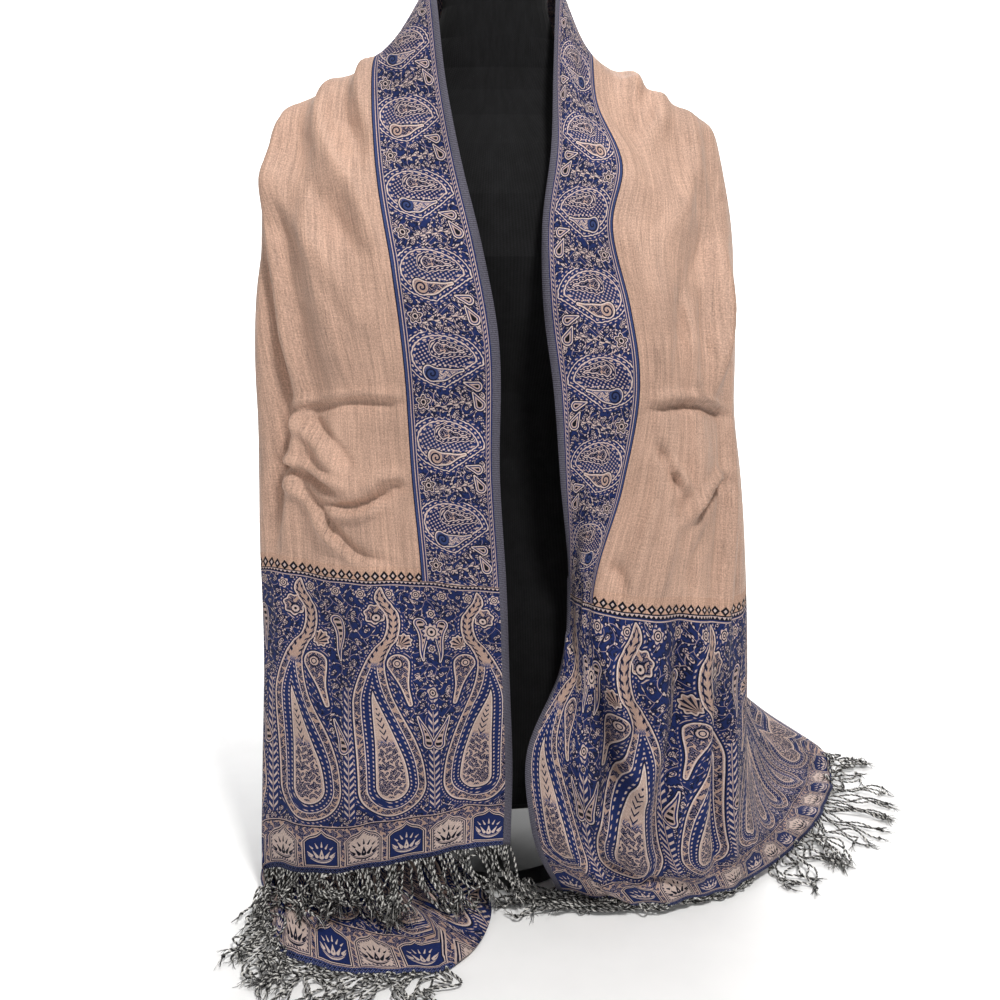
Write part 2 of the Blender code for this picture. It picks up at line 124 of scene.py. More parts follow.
FLANK_RIGHT = (
    # t, rear, flank, corner, fan
    (0.00, (94, 28, 838), (134, 24, 820), (166, 19, 802), (188, 16, 786)),
    (0.12, (124, 98, 768), (180, 74, 754), (210, 40, 738), (217, 2, 730)),
    (0.30, (138, 118, 668), (198, 82, 634), (220, 36, 616), (226, -14, 610)),
    (0.50, (143, 126, 556), (206, 84, 495), (234, 34, 470), (236, -22, 470)),
    (0.70, (149, 132, 440), (214, 90, 362), (248, 42, 306), (246, -28, 318)),
    (0.85, (156, 139, 356), (226, 104, 262), (280, 74, 150), (264, -18, 160)),
    (0.93, (162, 144, 320), (240, 122, 206), (340, 124, 62), (310, 12, 52)),
    (1.00, (168, 148, 284), (258, 150, 150), (430, 196, 8), (386, 58, 8)),
)
COLLAR = (
    # place round the neck from left to right, x, y, z of the upper selvedge
    (0.00, (-60, 20, 908)),
    (0.22, (-50, 55, 914)),
    (0.50, (0, 78, 917)),
    (0.78, (50, 55, 914)),
    (1.00, (60, 20, 908)),
)
# Steps between one named line and the next, and the place v across the cloth
# of the first line at the shoulder and at the hem.
LINES = (
    # line, steps to the next, v at the shoulder, v at the hem
    ("edge_l", 14, 0.000, 0.000),
    ("line_l", 28, 0.088, 0.088),
    ("middle_l", 28, 0.146, 0.176),
    ("side_l", 6, 0.205, 0.268),
    ("turn_l", 8, 0.190, 0.340),
    ("pleat_l", 16, 0.175, 0.480),
    ("corner_l", 9, 0.160, 0.640),
    ("inner_l", 9, 0.140, 0.682),
    ("flank_l", 8, 0.115, 0.700),
    ("rear_l", 36, 0.088, 0.700),
    ("centre", 36, 0.088, 0.700),
    ("rear_r", 12, 0.088, 0.700),
    ("flank_r", 14, 0.120, 0.700),
    ("corner_r", 18, 0.155, 0.640),
    ("fan_r", 12, 0.180, 0.460),
    ("side_r", 28, 0.205, 0.280),
    ("middle_r", 28, 0.146, 0.176),
    ("line_r", 14, 0.088, 0.088),
    ("edge_r", 0, 0.000, 0.000),
)
ROWS = ((0.0, 0.38, 42), (0.38, 0.64, 54), (0.64, 0.706, 14), (0.706, 0.9, 24), (0.9, 1.0, 14))
END_ROW = {"left": 0.706, "right": 0.64}  # where each end panel begins


# ------------------------------------------------------------------- curves
def curve_through(knots, values, at):
    """A smooth curve through values, one for each knot, read at each of at."""
    knots = np.asarray(knots, float)
    values = np.asarray(values, float)
    slope = np.gradient(values, knots, axis=0)
    at = np.clip(np.asarray(at, float), knots[0], knots[-1])
    i = np.clip(np.searchsorted(knots, at, side="right") - 1, 0, len(knots) - 2)
    h = (knots[i + 1] - knots[i])[:, None]
    t = (at - knots[i])[:, None] / h
    flat = values.reshape(len(knots), -1)
    slope = slope.reshape(len(knots), -1)
    out = (
        (2 * t**3 - 3 * t**2 + 1) * flat[i]
        + (t**3 - 2 * t**2 + t) * h * slope[i]
        + (-2 * t**3 + 3 * t**2) * flat[i + 1]
        + (t**3 - t**2) * h * slope[i + 1]
    )
    return out.reshape((len(at),) + values.shape[1:])


def lines_down(table, rows):
    return curve_through([row[0] for row in table], [row[1:] for row in table], rows)


def even(points, count):
    points = np.asarray(points, float)
    run = np.concatenate([[0], np.cumsum(np.linalg.norm(np.diff(points, axis=0), axis=1))])
    at = np.linspace(0, run[-1], count + 1)
    return np.stack([np.interp(at, run, points[:, k]) for k in range(points.shape[1])], axis=1)


def unit(vectors):
    return vectors / np.maximum(np.linalg.norm(vectors, axis=-1, keepdims=True), 1e-9)


def normals_of(grid):
    down = np.gradient(grid, axis=0)
    across = np.gradient(grid, axis=1)
    return unit(np.cross(across, down))


def bump(x, centre, width):
    """1 at the centre, easing to 0 at width on each side."""
    s = np.clip(np.abs(x - centre) / width, 0, 1)
    return 0.5 + 0.5 * np.cos(math.pi * s)


def ease(x, start, end):
    s = np.clip((x - start) / (end - start), 0, 1)
    return s * s * (3 - 2 * s)


# ------------------------------------------------------------ form of cloth
def row_places():
    places = [0.0]
    for start, end, steps in ROWS:
        places += [start + (end - start) * (k + 1) / steps for k in range(steps)]
    return np.array(places)


rows = row_places()
many_rows = len(rows)
columns = np.concatenate(
    [
        lines_down(FRONT_LEFT, rows),
        lines_down(FLANK_LEFT, rows),
        lines_down(BACK, rows),
        lines_down(FLANK_RIGHT, rows),
        lines_down(FRONT_RIGHT, rows)[:, ::-1],
    ],
    axis=1,
)
names = [line[0] for line in LINES]
place = {}
count = 0
for name, steps, _, _ in LINES:
    place[name] = count
    count += steps
many_columns = count + 1

grid = np.zeros((many_rows, many_columns, 3))
for r, line in enumerate(columns):
    run = np.concatenate([[0], np.cumsum(np.linalg.norm(np.diff(line, axis=0), axis=1) ** 0.7)])
    for k in range(len(names) - 1):
        at = np.linspace(run[k], run[k + 1], 33)
        points = curve_through(run, line, at)
        grid[r, place[names[k]] : place[names[k + 1]] + 1] = even(points, LINES[k][1])

el, ll, sl, rl = (place[k] for k in ("edge_l", "line_l", "side_l", "rear_l"))
er, lr, sr, rr = (place[k] for k in ("edge_r", "line_r", "side_r", "rear_r"))
mid = place["centre"]
assert sl - ll == rl - sl and lr - sr == sr - rr

# The back half of each shoulder ridge is the front half again.
grid[0, sl : rl + 1] = grid[0, ll : sl + 1][::-1]
grid[0, rr : sr + 1] = grid[0, sr : lr + 1][::-1]

# Upright folds across the back, uneven, that grow towards the hem.
BACK_FOLDS = (
    # place from left to right across the back, width, depth in mm
    (0.10, 0.10, 7.0),
    (0.27, 0.09, -8.0),
    (0.43, 0.11, 9.0),
    (0.60, 0.09, -7.0),
    (0.76, 0.10, 9.0),
    (0.92, 0.09, -6.0),
)
normal = normals_of(grid)
share = (np.arange(rl, rr + 1) - rl) / (rr - rl)
wave = sum(depth * bump(share, centre, width) for centre, width, depth in BACK_FOLDS)
grow = np.clip((rows - 0.12) / 0.88, 0, 1) ** 1.3
grid[:, rl : rr + 1] -= normal[:, rl : rr + 1] * (grow[:, None] * wave[None])[..., None]
grid[..., 2] = np.maximum(grid[..., 2], REST)

# ------------------------------------------------------- cloth's coordinates
v_grid = np.zeros((many_rows, many_columns))
a_grid = np.zeros((many_rows, many_columns))  # distance from the fringed end
step = np.linalg.norm(np.diff(grid, axis=0), axis=2)
left_end = int(np.argmin(abs(rows - END_ROW["left"])))
right_end = int(np.argmin(abs(rows - END_ROW["right"])))
for k, (name, steps, v_top, v_hem) in enumerate(LINES[:-1]):
    after = LINES[k + 1]
    first, last = place[name], place[after[0]]
    f = np.linspace(0, 1, last - first + 1)
    top = v_top * (1 - f) + after[2] * f
    hem = v_hem * (1 - f) + after[3] * f
    if name in ("rear_l", "centre", "corner_l", "inner_l", "flank_l", "rear_r", "flank_r"):
        lean = rows[:, None]
    else:
        lean = ease(rows, 0.0, 0.7)[:, None]
    v_grid[:, first : last + 1] = top[None] * (1 - lean) + hem[None] * lean

LENGTH = {"left": 0.956, "right": 1.067}  # from the middle of the collar to each end


def front_lengths(first, last, end_row):
    """Distance from the end down the columns of a front."""
    for c in range(first, last + 1):
        low = PANEL * (1 - (rows[end_row:] - rows[end_row]) / (1 - rows[end_row]))
        a_grid[end_row:, c] = low
        up = np.concatenate([[0], np.cumsum(step[:end_row, c][::-1])])[::-1] * MM
        a_grid[: end_row + 1, c] = PANEL + up


front_lengths(el, sl, left_end)
front_lengths(sr, er, right_end)


def back_lengths(first, last, side, hem_run):
    """Straight rulings from the ridge row to the hem row."""
    top_a = LENGTH[side] - 0.11
    for c in range(first, last + 1):
        a_grid[:, c] = top_a * (1 - rows) + hem_run[c - first] * rows


def hem_places(first, last, start, end):
    """Distance from the end along the lower selvedge."""
    run = np.concatenate([[0], np.cumsum(np.linalg.norm(np.diff(grid[-1, first : last + 1], axis=0), axis=1))])
    return start + (end - start) * run / run[-1]


def side_lengths(side_column, corner_column):
    """Between the side line and the corner, from the front's measure to the
    length that is left down to the hem."""
    side_a = a_grid[:, side_column].copy()
    left = np.concatenate([[0], np.cumsum(step[:, corner_column][::-1])])[::-1] * MM
    for c in range(min(side_column, corner_column), max(side_column, corner_column) + 1):
        f = abs(c - side_column) / abs(corner_column - side_column)
        a_grid[:, c] = side_a * (1 - f) + left * f


cl, cr = place["corner_l"], place["corner_r"]
back_lengths(cl, mid, "left", hem_places(cl, mid, 0.0, LENGTH["left"]))
back_lengths(mid, cr, "right", hem_places(mid, cr, LENGTH["right"], 0.0))
side_lengths(sl, cl)
side_lengths(sr, cr)

# ------------------------------------------------------------------- collar
rise_steps = ll - el
low = grid[0, rl : rr + 1]
turn = np.linspace(0, 1, len(low))
high = curve_through([row[0] for row in COLLAR], [row[1] for row in COLLAR], turn)
rise = np.linspace(0, 1, rise_steps + 1)[:, None, None]
collar = high[None] * (1 - rise) + low[None] * rise
collar[:, 0] = grid[0, el : ll + 1]
collar[:, -1] = grid[0, lr : er + 1][::-1]
collar_v = np.repeat(np.linspace(0, STRIP, rise_steps + 1)[:, None], len(low), 1)
across = np.linspace(-1, 1, len(low))
collar_a = np.where(across < 0, LENGTH["left"] + across * 0.095, LENGTH["right"] - across * 0.095)
collar_a = np.repeat(collar_a[None], rise_steps + 1, 0)

# --------------------------------------------------------- folds and creases
# Each: front (left or right), points down its length as (t, v in mm), width on
# each side and depth in mm; a ridge is above the cloth and a trough below it.
CREASE_SCALE = 2.2
CREASES = (
    # front, line of the crease as t, v; width; depth
    ("left", ((0.03, 96), (0.10, 104), (0.17, 96)), 10, 3.0),
    ("left", ((0.03, 112), (0.13, 118), (0.22, 98)), 11, -3.0),
    ("left", ((0.03, 138), (0.14, 142), (0.26, 110), (0.33, 96)), 13, 4.0),
    ("left", ((0.04, 160), (0.15, 166), (0.28, 134), (0.37, 104)), 14, -3.6),
    ("left", ((0.06, 184), (0.18, 192), (0.30, 160), (0.42, 120)), 14, 3.0),
    ("left", ((0.10, 205), (0.24, 220), (0.40, 205)), 13, -2.6),
    # The long fold in front of the side, with the shaded hollow behind it.
    ("left", ((0.10, 188), (0.30, 200), (0.48, 202), (0.57, 212), (0.67, 228)), 10, 3.4),
    ("left", ((0.12, 206), (0.32, 219), (0.50, 221), (0.58, 230), (0.69, 246)), 11, -6.0),
    ("left", ((0.18, 240), (0.40, 248), (0.60, 252), (0.70, 262)), 11, 2.2),
    # A broad, shallow hollow across the front, deepest at that fold line.
    ("left", ((0.500, 100), (0.498, 160), (0.505, 222)), 62, -7.0),
    ("left", ((0.24, 110), (0.22, 160), (0.20, 214)), 50, 3.4),
    # The sharp line where the cloth was once folded for storage.
    ("left", ((0.500, 92), (0.496, 150), (0.502, 222)), 5, 2.2),
    ("left", ((0.510, 92), (0.506, 150), (0.512, 222)), 5, -2.4),
    # Facets that run down from it, and the small pinched hollow under them.
    ("left", ((0.508, 222), (0.548, 190), (0.584, 162)), 8, 3.6),
    ("left", ((0.516, 200), (0.550, 168), (0.580, 148)), 8, -2.6),
    ("left", ((0.562, 236), (0.577, 200), (0.603, 156)), 6, 3.4),
    ("left", ((0.574, 232), (0.590, 196), (0.613, 164)), 6, -3.8),
    ("left", ((0.582, 236), (0.620, 200), (0.655, 184), (0.688, 152)), 7, 3.2),
    ("left", ((0.600, 206), (0.636, 182), (0.672, 158), (0.690, 116)), 7, -3.4),
    ("left", ((0.620, 186), (0.624, 152), (0.610, 116)), 5, -4.6),
    ("left", ((0.632, 178), (0.636, 150), (0.622, 116)), 5, 2.6),
    ("left", ((0.606, 140), (0.590, 120), (0.587, 96)), 6, 2.6),
    ("left", ((0.616, 128), (0.602, 110), (0.600, 96)), 6, -2.4),
    ("left", ((0.20, 150), (0.34, 158), (0.47, 150)), 13, 2.4),
    ("left", ((0.22, 182), (0.34, 190), (0.46, 184)), 13, -2.6),
    ("left", ((0.72, 60), (0.82, 70), (0.93, 84)), 12, 2.4),
    ("left", ((0.76, 28), (0.86, 40), (0.99, 30)), 11, -2.4),
    ("left", ((0.90, 66), (0.95, 46), (1.00, 36)), 9, -3.0),
    ("left", ((0.74, 150), (0.86, 160), (0.99, 154)), 14, 1.8),
    ("left", ((0.30, 44), (0.34, 70), (0.37, 84)), 7, -1.4),
    ("left", ((0.46, 12), (0.50, 40), (0.52, 82)), 7, 1.3),
    ("right", ((0.01, 118), (0.05, 128), (0.09, 120)), 11, 6.5),
    ("right", ((0.02, 150), (0.10, 146), (0.18, 118)), 12, 3.4),
    ("right", ((0.03, 132), (0.12, 128), (0.17, 108)), 10, -3.4),
    ("right", ((0.05, 176), (0.16, 172), (0.28, 132)), 13, 3.6),
    ("right", ((0.08, 196), (0.20, 196), (0.32, 158), (0.42, 132)), 14, -3.4),
    ("right", ((0.12, 212), (0.26, 216), (0.44, 190)), 13, 3.0),
    ("right", ((0.24, 150), (0.36, 150), (0.50, 160), (0.62, 170)), 14, -2.6),
    ("right", ((0.446, 100), (0.432, 160), (0.420, 226)), 5, 2.8),
    ("right", ((0.456, 100), (0.442, 160), (0.430, 226)), 5, -3.2),
    ("right", ((0.496, 130), (0.512, 152), (0.530, 166)), 6, 4.4),
    ("right", ((0.486, 118), (0.504, 138), (0.522, 150)), 6, -4.4),
    ("right", ((0.500, 226), (0.515, 200), (0.54, 176), (0.56, 160)), 7, 4.0),
    ("right", ((0.512, 226), (0.530, 198), (0.56, 178)), 7, -3.8),
    ("right", ((0.20, 200), (0.32, 208), (0.41, 198)), 12, 3.0),
    ("right", ((0.16, 176), (0.28, 186), (0.40, 176)), 13, -3.0),
    ("right", ((0.56, 196), (0.60, 180), (0.63, 190)), 9, -3.0),
    ("right", ((0.55, 150), (0.59, 152), (0.63, 142)), 9, 2.6),
    ("right", ((0.446, 110), (0.430, 170), (0.420, 226)), 46, -2.6),
    ("right", ((0.30, 228), (0.42, 236), (0.52, 238), (0.64, 232)), 11, 3.6),
    ("right", ((0.32, 250), (0.44, 256), (0.56, 256), (0.66, 250)), 11, -3.8),
    ("right", ((0.42, 212), (0.54, 218), (0.66, 216)), 10, -2.6),
    ("right", ((0.52, 126), (0.58, 124), (0.66, 116)), 12, 3.2),
    ("right", ((0.60, 100), (0.612, 112), (0.63, 116)), 6, -3.0),
    # The end panel hangs in one deep pocket and in long slanting folds.
    ("right", ((0.67, 104), (0.72, 116), (0.765, 120)), 13, 5.5),
    ("right", ((0.71, 92), (0.760, 104), (0.800, 112), (0.84, 100)), 13, -11.0),
    ("right", ((0.775, 122), (0.80, 134), (0.82, 146)), 10, 4.5),
    ("right", ((0.80, 84), (0.84, 96), (0.88, 116)), 13, 5.0),
    ("right", ((0.65, 150), (0.74, 152), (0.84, 134), (0.95, 116)), 15, 5.5),
    ("right", ((0.64, 176), (0.73, 180), (0.82, 164), (0.92, 146)), 13, -7.0),
    ("right", ((0.66, 204), (0.78, 204), (0.95, 186)), 14, 4.5),
    ("right", ((0.70, 232), (0.82, 230), (0.98, 212)), 13, -5.5),
    ("right", ((0.72, 256), (0.84, 252), (0.96, 240)), 11, 3.0),
    ("right", ((0.84, 40), (0.92, 66), (0.99, 84)), 14, 5.0),
    ("right", ((0.90, 96), (0.94, 130), (0.97, 160)), 12, -5.0),
)


def crease_depth(front, t, v):
    """Height of the creases of a front at places t and v of its cloth."""
    out = np.zeros_like(v)
    for side, line, width, depth in CREASES:
        if side != front:
            continue
        ts = np.array([p[0] for p in line])
        vs = np.array([p[1] for p in line], float)
        # Distance in mm from a run of short stretches of the crease.
        s = np.linspace(0, 1, 220)
        fine_t = curve_through(np.linspace(0, 1, len(line)), ts[:, None], s)[:, 0] * 870
        fine_v = curve_through(np.linspace(0, 1, len(line)), vs[:, None], s)[:, 0]
        gap = np.full(v.shape, 1e9)
        at = np.zeros(v.shape)
        for k in range(len(s)):
            d = np.hypot(t * 870 - fine_t[k], v * 1000 - fine_v[k])
            nearer = d < gap
            gap = np.where(nearer, d, gap)
            at = np.where(nearer, s[k], at)
        fade = np.clip(np.minimum(at, 1 - at) / 0.25, 0.0, 1.0) ** 0.7
        out += depth * (0.25 + 0.75 * fade) * np.exp(-((gap / width) ** 2) * 1.6)
    return out


t_grid = np.repeat(rows[:, None], many_columns, 1)
normal = normals_of(grid)
lift = np.zeros((many_rows, many_columns))
lift[:, el : sl + 1] += crease_depth("left", t_grid[:, el : sl + 1], v_grid[:, el : sl + 1])
lift[:, sr : er + 1] += crease_depth("right", t_grid[:, sr : er + 1], v_grid[:, sr : er + 1])
# Slow waves that no flat cloth is without, a little different everywhere.
x_mm = grid[..., 0]
z_mm = grid[..., 2]
lift += 0.9 * np.sin(v_grid * 61 + 2.2 * np.sin(z_mm / 97.0)) * ease(t_grid, 0.02, 0.2)
lift += 0.6 * np.sin(v_grid * 140 + z_mm / 61.0 + 1.3) * ease(t_grid, 0.02, 0.2)
# Over the shoulders the form is close under the cloth: hollows stay shallow there.
lift = np.where(lift < 0, lift * (0.5 + 0.5 * ease(t_grid, 0.10, 0.34)), lift)
# The lift passes smoothly from one side line to the other side's folds.
for centre, reach in ((sl, 10), (sr, 10)):
    band = np.arange(centre - reach, centre + reach + 1)
    middle_value = lift[:, centre].copy()
    for c in band:
        w = bump(c, centre, reach)
        lift[:, c] = lift[:, c] * (1 - w) + middle_value * 0.4 * w
lift[0] = 0
# A ridge stands away from the form's middle line, on every side of it.
away = np.where(np.einsum("rcx,rcx->rc", normal[..., :2], grid[..., :2]) < 0, -1.0, 1.0)
grid += normal * (CREASE_SCALE * lift * away)[..., None]

# ----------------------------------------------------------- one welded mesh
index = -np.ones((many_rows, many_columns), int)
points, coords = [], []


def add(p, a, v):
    points.append(p)
    coords.append((a, v))
    return len(points) - 1


for r in range(many_rows):
    for c in range(many_columns):
        if r == 0 and (sl < c <= rl or rr <= c < sr):
            continue
        index[r, c] = add(grid[r, c], a_grid[r, c], v_grid[r, c])
for c in range(sl + 1, rl + 1):
    index[0, c] = index[0, 2 * sl - c]
for c in range(rr, sr):
    index[0, c] = index[0, 2 * sr - c]
collar_index = -np.ones(collar.shape[:2], int)
wide = collar.shape[1]
for r in range(rise_steps + 1):
    for c in range(wide):
        if c == 0:
            collar_index[r, c] = index[0, el + r]
        elif c == wide - 1:
            collar_index[r, c] = index[0, er - r]
        elif r == rise_steps:
            collar_index[r, c] = index[0, rl + c]
        else:
            collar_index[r, c] = add(collar[r, c], collar_a[r, c], collar_v[r, c])
points = np.array(points)

WHOLE = LENGTH["left"] + LENGTH["right"]


def through(places, centre):
    """Places along the cloth from each end, as places from its left end alone."""
    c = np.arange(places.shape[1])
    out = np.where(c[None] < centre, places, WHOLE - places)
    # The two runs meet in the middle: what they differ by is spread to each side.
    step = out[:, centre - 1] - out[:, centre - 2]
    differ = out[:, centre + 1] - out[:, centre - 1] - 2 * step
    share = np.clip(1 - abs(c - centre) / min(32, centre - 1), 0, 1) * np.sign(centre - c)
    out = out + differ[:, None] / 2 * share[None]
    out[:, centre] = (out[:, centre - 1] + out[:, centre + 1]) / 2
    return out


s_grid = through(a_grid, mid)
collar_s = through(collar_a, wide // 2)

STRIP_MAT, PANEL_MAT, FIELD_MAT, MIXED_MAT = 0, 1, 2, 3
TURNED_OVER = 8
faces, face_uv, face_mat, face_weave = [], [], [], []
for r in range(many_rows - 1):
    for c in range(many_columns - 1):
        corners = ((r, c), (r + 1, c), (r + 1, c + 1), (r, c + 1))
        ids = [index[p] for p in corners]
        if len(set(ids)) < 4:
            continue
        faces.append(ids[::-1])
        face_uv.append([(a_grid[p], v_grid[p]) for p in corners][::-1])
        face_weave.append([(s_grid[p], v_grid[p]) for p in corners][::-1])
        left = c < mid
        end = left_end if left else right_end
        if el <= c < ll or lr <= c < er:
            face_mat.append(PANEL_MAT if r >= end else STRIP_MAT)
        elif ll <= c < sl or sr <= c < lr:
            face_mat.append(PANEL_MAT if r >= end - 3 else FIELD_MAT)
        else:
            lowest_a = min(a_grid[p] for p in corners)
            highest_v = max(v_grid[p] for p in corners)
            lowest_v = min(v_grid[p] for p in corners)
            highest_a = max(a_grid[p] for p in corners)
            if highest_a < PANEL - 0.002:
                face_mat.append(PANEL_MAT)
            elif lowest_a > PANEL + 0.014 and highest_v < WIDTH - STRIP - 0.002:
                face_mat.append(FIELD_MAT)
            elif lowest_a > PANEL + 0.014 and lowest_v > WIDTH - STRIP + 0.001:
                face_mat.append(STRIP_MAT)
            else:
                face_mat.append(MIXED_MAT)
            if sl <= c < place["flank_l"] and rows[r] > 0.86:
                face_mat[-1] += TURNED_OVER
for r in range(rise_steps):
    for c in range(wide - 1):
        corners = ((r, c), (r + 1, c), (r + 1, c + 1), (r, c + 1))
        ids = [collar_index[p] for p in corners]
        if len(set(ids)) < 4:
            continue
        faces.append(ids[::-1])
        face_uv.append([(collar_a[p], collar_v[p]) for p in corners][::-1])
        face_weave.append([(collar_s[p], collar_v[p]) for p in corners][::-1])
        face_mat.append(STRIP_MAT)

# Even out the welded lines: the ridge, the sides and the collar's foot.
edges = set()
for ids in faces:
    for k in range(len(ids)):
        a, b = ids[k], ids[(k + 1) % len(ids)]
        edges.add((min(a, b), max(a, b)))
edges = np.array(sorted(edges))
degree = np.zeros(len(points))
np.add.at(degree, edges[:, 0], 1)
np.add.at(degree, edges[:, 1], 1)
strength = np.full(len(points), 0.0)
strength_grid = np.zeros((many_rows, many_columns))
near_ridge = np.clip(1 - t_grid / 0.055, 0, 1)
strength_grid = np.maximum(strength_grid, near_ridge)
for centre in (sl, sr):
    c = np.arange(many_columns)
    strength_grid = np.maximum(strength_grid, (np.clip(1 - abs(c - centre) / 9.0, 0, 1) * 0.9)[None] * ease(t_grid, 0.0, 0.02))
strength_grid[:, el : el + 2] = 0
strength_grid[:, er - 1 :] = 0
for r in range(many_rows):
    for c in range(many_columns):
        k = index[r, c]
        strength[k] = max(strength[k], strength_grid[r, c])
for r in range(rise_steps + 1):
    for c in range(wide):
        strength[collar_index[r, c]] = max(strength[collar_index[r, c]], 0.6 if r > 1 else 0.0)
strength[index[-1]] = 0
for _ in range(14):
    total = np.zeros_like(points)
    np.add.at(total, edges[:, 0], points[edges[:, 1]])
    np.add.at(total, edges[:, 1], points[edges[:, 0]])
    average = total / degree[:, None]
    points += (average - points) * (0.5 * strength)[:, None]
points[:, 2] = np.maximum(points[:, 2], REST)


def mesh_of(name, points_mm, faces, mats=()):
    mesh = bpy.data.meshes.new(name)
    mesh.from_pydata([tuple(p) for p in np.asarray(points_mm) * MM], [], [list(map(int, f)) for f in faces])
    for mat in mats:
        mesh.materials.append(mat)
    mesh.shade_smooth()
    obj = bpy.data.objects.new(name, mesh)
    bpy.context.scene.collection.objects.link(obj)
    return obj


# ------------------------------------------------------------ cloth's pattern
class Num:
    """A number in a node tree, built up with ordinary arithmetic."""

    def __init__(self, tree, socket):
        self.tree, self.socket = tree, socket

    def __add__(self, other):
        return calc("ADD", self, other)

    def __sub__(self, other):
        return calc("SUBTRACT", self, other)

    def __rsub__(self, other):
        return calc("SUBTRACT", other, self)

    def __mul__(self, other):
        return calc("MULTIPLY", self, other)

    __radd__ = __add__
    __rmul__ = __mul__


def calc(operation, *terms, clamp=False):
    tree = next(term.tree for term in terms if isinstance(term, Num))
    node = tree.nodes.new("ShaderNodeMath")
    node.operation = operation
    node.use_clamp = clamp
    for k, term in enumerate(terms):
        if isinstance(term, Num):
            tree.links.new(term.socket, node.inputs[k])
        else:
            node.inputs[k].default_value = float(term)
    return Num(tree, node.outputs[0])


def size_of(x):
    return calc("ABSOLUTE", x)


def least(a, b):
    return calc("MINIMUM", a, b)


def most(a, b):
    return calc("MAXIMUM", a, b)


def wave_of(x):
    return calc("SINE", x)


def span(x, y):
    tree = x.tree
    join = tree.nodes.new("ShaderNodeCombineXYZ")
    tree.links.new(x.socket, join.inputs[0])
    tree.links.new(y.socket, join.inputs[1])
    node = tree.nodes.new("ShaderNodeVectorMath")
    node.operation = "LENGTH"
    tree.links.new(join.outputs[0], node.inputs[0])
    return Num(tree, node.outputs["Value"])


def angle_of(x, y):
    return calc("ARCTAN2", y, x)


def within(d, edge=0.0, soft=0.35):
    """1 where d is less than edge."""
    return calc("MULTIPLY_ADD", d, -1 / soft, edge / soft + 0.5, clamp=True)


def beyond(d, edge=0.0, soft=0.35):
    return calc("MULTIPLY_ADD", d, 1 / soft, -edge / soft + 0.5, clamp=True)


def line_at(d, at=0.0, half=0.5, soft=0.35):
    gap = size_of(d - at) if at else size_of(d)
    return within(gap, half, soft)


def dots_at(d, at, half, along, soft=0.4):
    """A row of dots that follows d = at; along counts them."""
    beads = calc("MULTIPLY_ADD", wave_of(along), 1.6, 0.35, clamp=True)
    return line_at(d, at, half, soft) * beads


def paint(tone, mask, value):
    return calc("MULTIPLY_ADD", mask, value - tone, tone)


def repeat(x, pitch):
    return calc("FLOORED_MODULO", x, pitch) - pitch / 2


def tapered(x, y, start, end):
    """Distance to a drop from start (x, y, radius) to end (x, y, radius)."""
    (x0, y0, r0), (x1, y1, r1) = start, end
    dx, dy = x1 - x0, y1 - y0
    square = dx * dx + dy * dy
    px, py = x - x0, y - y0
    part = calc("MULTIPLY", px, dx / square)
    part = calc("MULTIPLY_ADD", py, dy / square, part, clamp=True)
    px = calc("MULTIPLY_ADD", part, -dx, px)
    py = calc("MULTIPLY_ADD", part, -dy, py)
    return calc("MULTIPLY_ADD", part, r0 - r1, span(px, py)) - r0


def read_curve(x, table, low, high):
    """A smooth curve through a table of (x, value)."""
    tree = x.tree
    reach = table[-1][0]
    node = tree.nodes.new("ShaderNodeFloatCurve")
    curve = node.mapping.curves[0]
    spots = [(p[0] / reach, (p[1] - low) / (high - low)) for p in table]
    curve.points[0].location = spots[0]
    curve.points[1].location = spots[-1]
    for spot in spots[1:-1]:
        curve.points.new(*spot)
    node.mapping.update()
    share = calc("MULTIPLY", x, 1 / reach, clamp=True)
    tree.links.new(share.socket, node.inputs["Value"])
    return calc("MULTIPLY_ADD", Num(tree, node.outputs[0]), high - low, low)


def noise_of(x, y, scale_x, scale_y, detail=2.0, rough=0.55):
    tree = x.tree
    join = tree.nodes.new("ShaderNodeCombineXYZ")
    tree.links.new((x * scale_x).socket, join.inputs[0])
    tree.links.new((y * scale_y).socket, join.inputs[1])
    node = tree.nodes.new("ShaderNodeTexNoise")
    node.noise_dimensions = "2D"
    node.inputs["Scale"].default_value = 1.0
    node.inputs["Detail"].default_value = detail
    node.inputs["Roughness"].default_value = rough
    tree.links.new(join.outputs[0], node.inputs["Vector"])
    return Num(tree, node.outputs[0])


def cells_of(x, y, pitch, feature="F1", random=1.0):
    """Distance, in units of x and y, from a scatter of points a pitch apart."""
    tree = x.tree
    join = tree.nodes.new("ShaderNodeCombineXYZ")
    tree.links.new((x * (1 / pitch)).socket, join.inputs[0])
    tree.links.new((y * (1 / pitch)).socket, join.inputs[1])
    node = tree.nodes.new("ShaderNodeTexVoronoi")
    node.voronoi_dimensions = "2D"
    node.feature = feature
    node.inputs["Scale"].default_value = 1.0
    node.inputs["Randomness"].default_value = random
    tree.links.new(join.outputs[0], node.inputs["Vector"])
    return Num(tree, node.outputs["Distance"]) * pitch


# Tones of the pattern: 0 outline, 0.25 ground, 0.5 bright blue, 0.75 pink, 1 cream.
DARK, GROUND, PINK, CREAM = 0.0, 0.25, 0.75, 1.0


def specks(tone, x, y, mask, value=0.80):
    """Small dots in staggered rows, as a ground shows between its figures."""
    both = wave_of(x * 1.75 + y * 0.35) * wave_of(y * 1.75 - x * 0.35)
    return paint(tone, beyond(both, 0.80, 0.25) * mask, value)


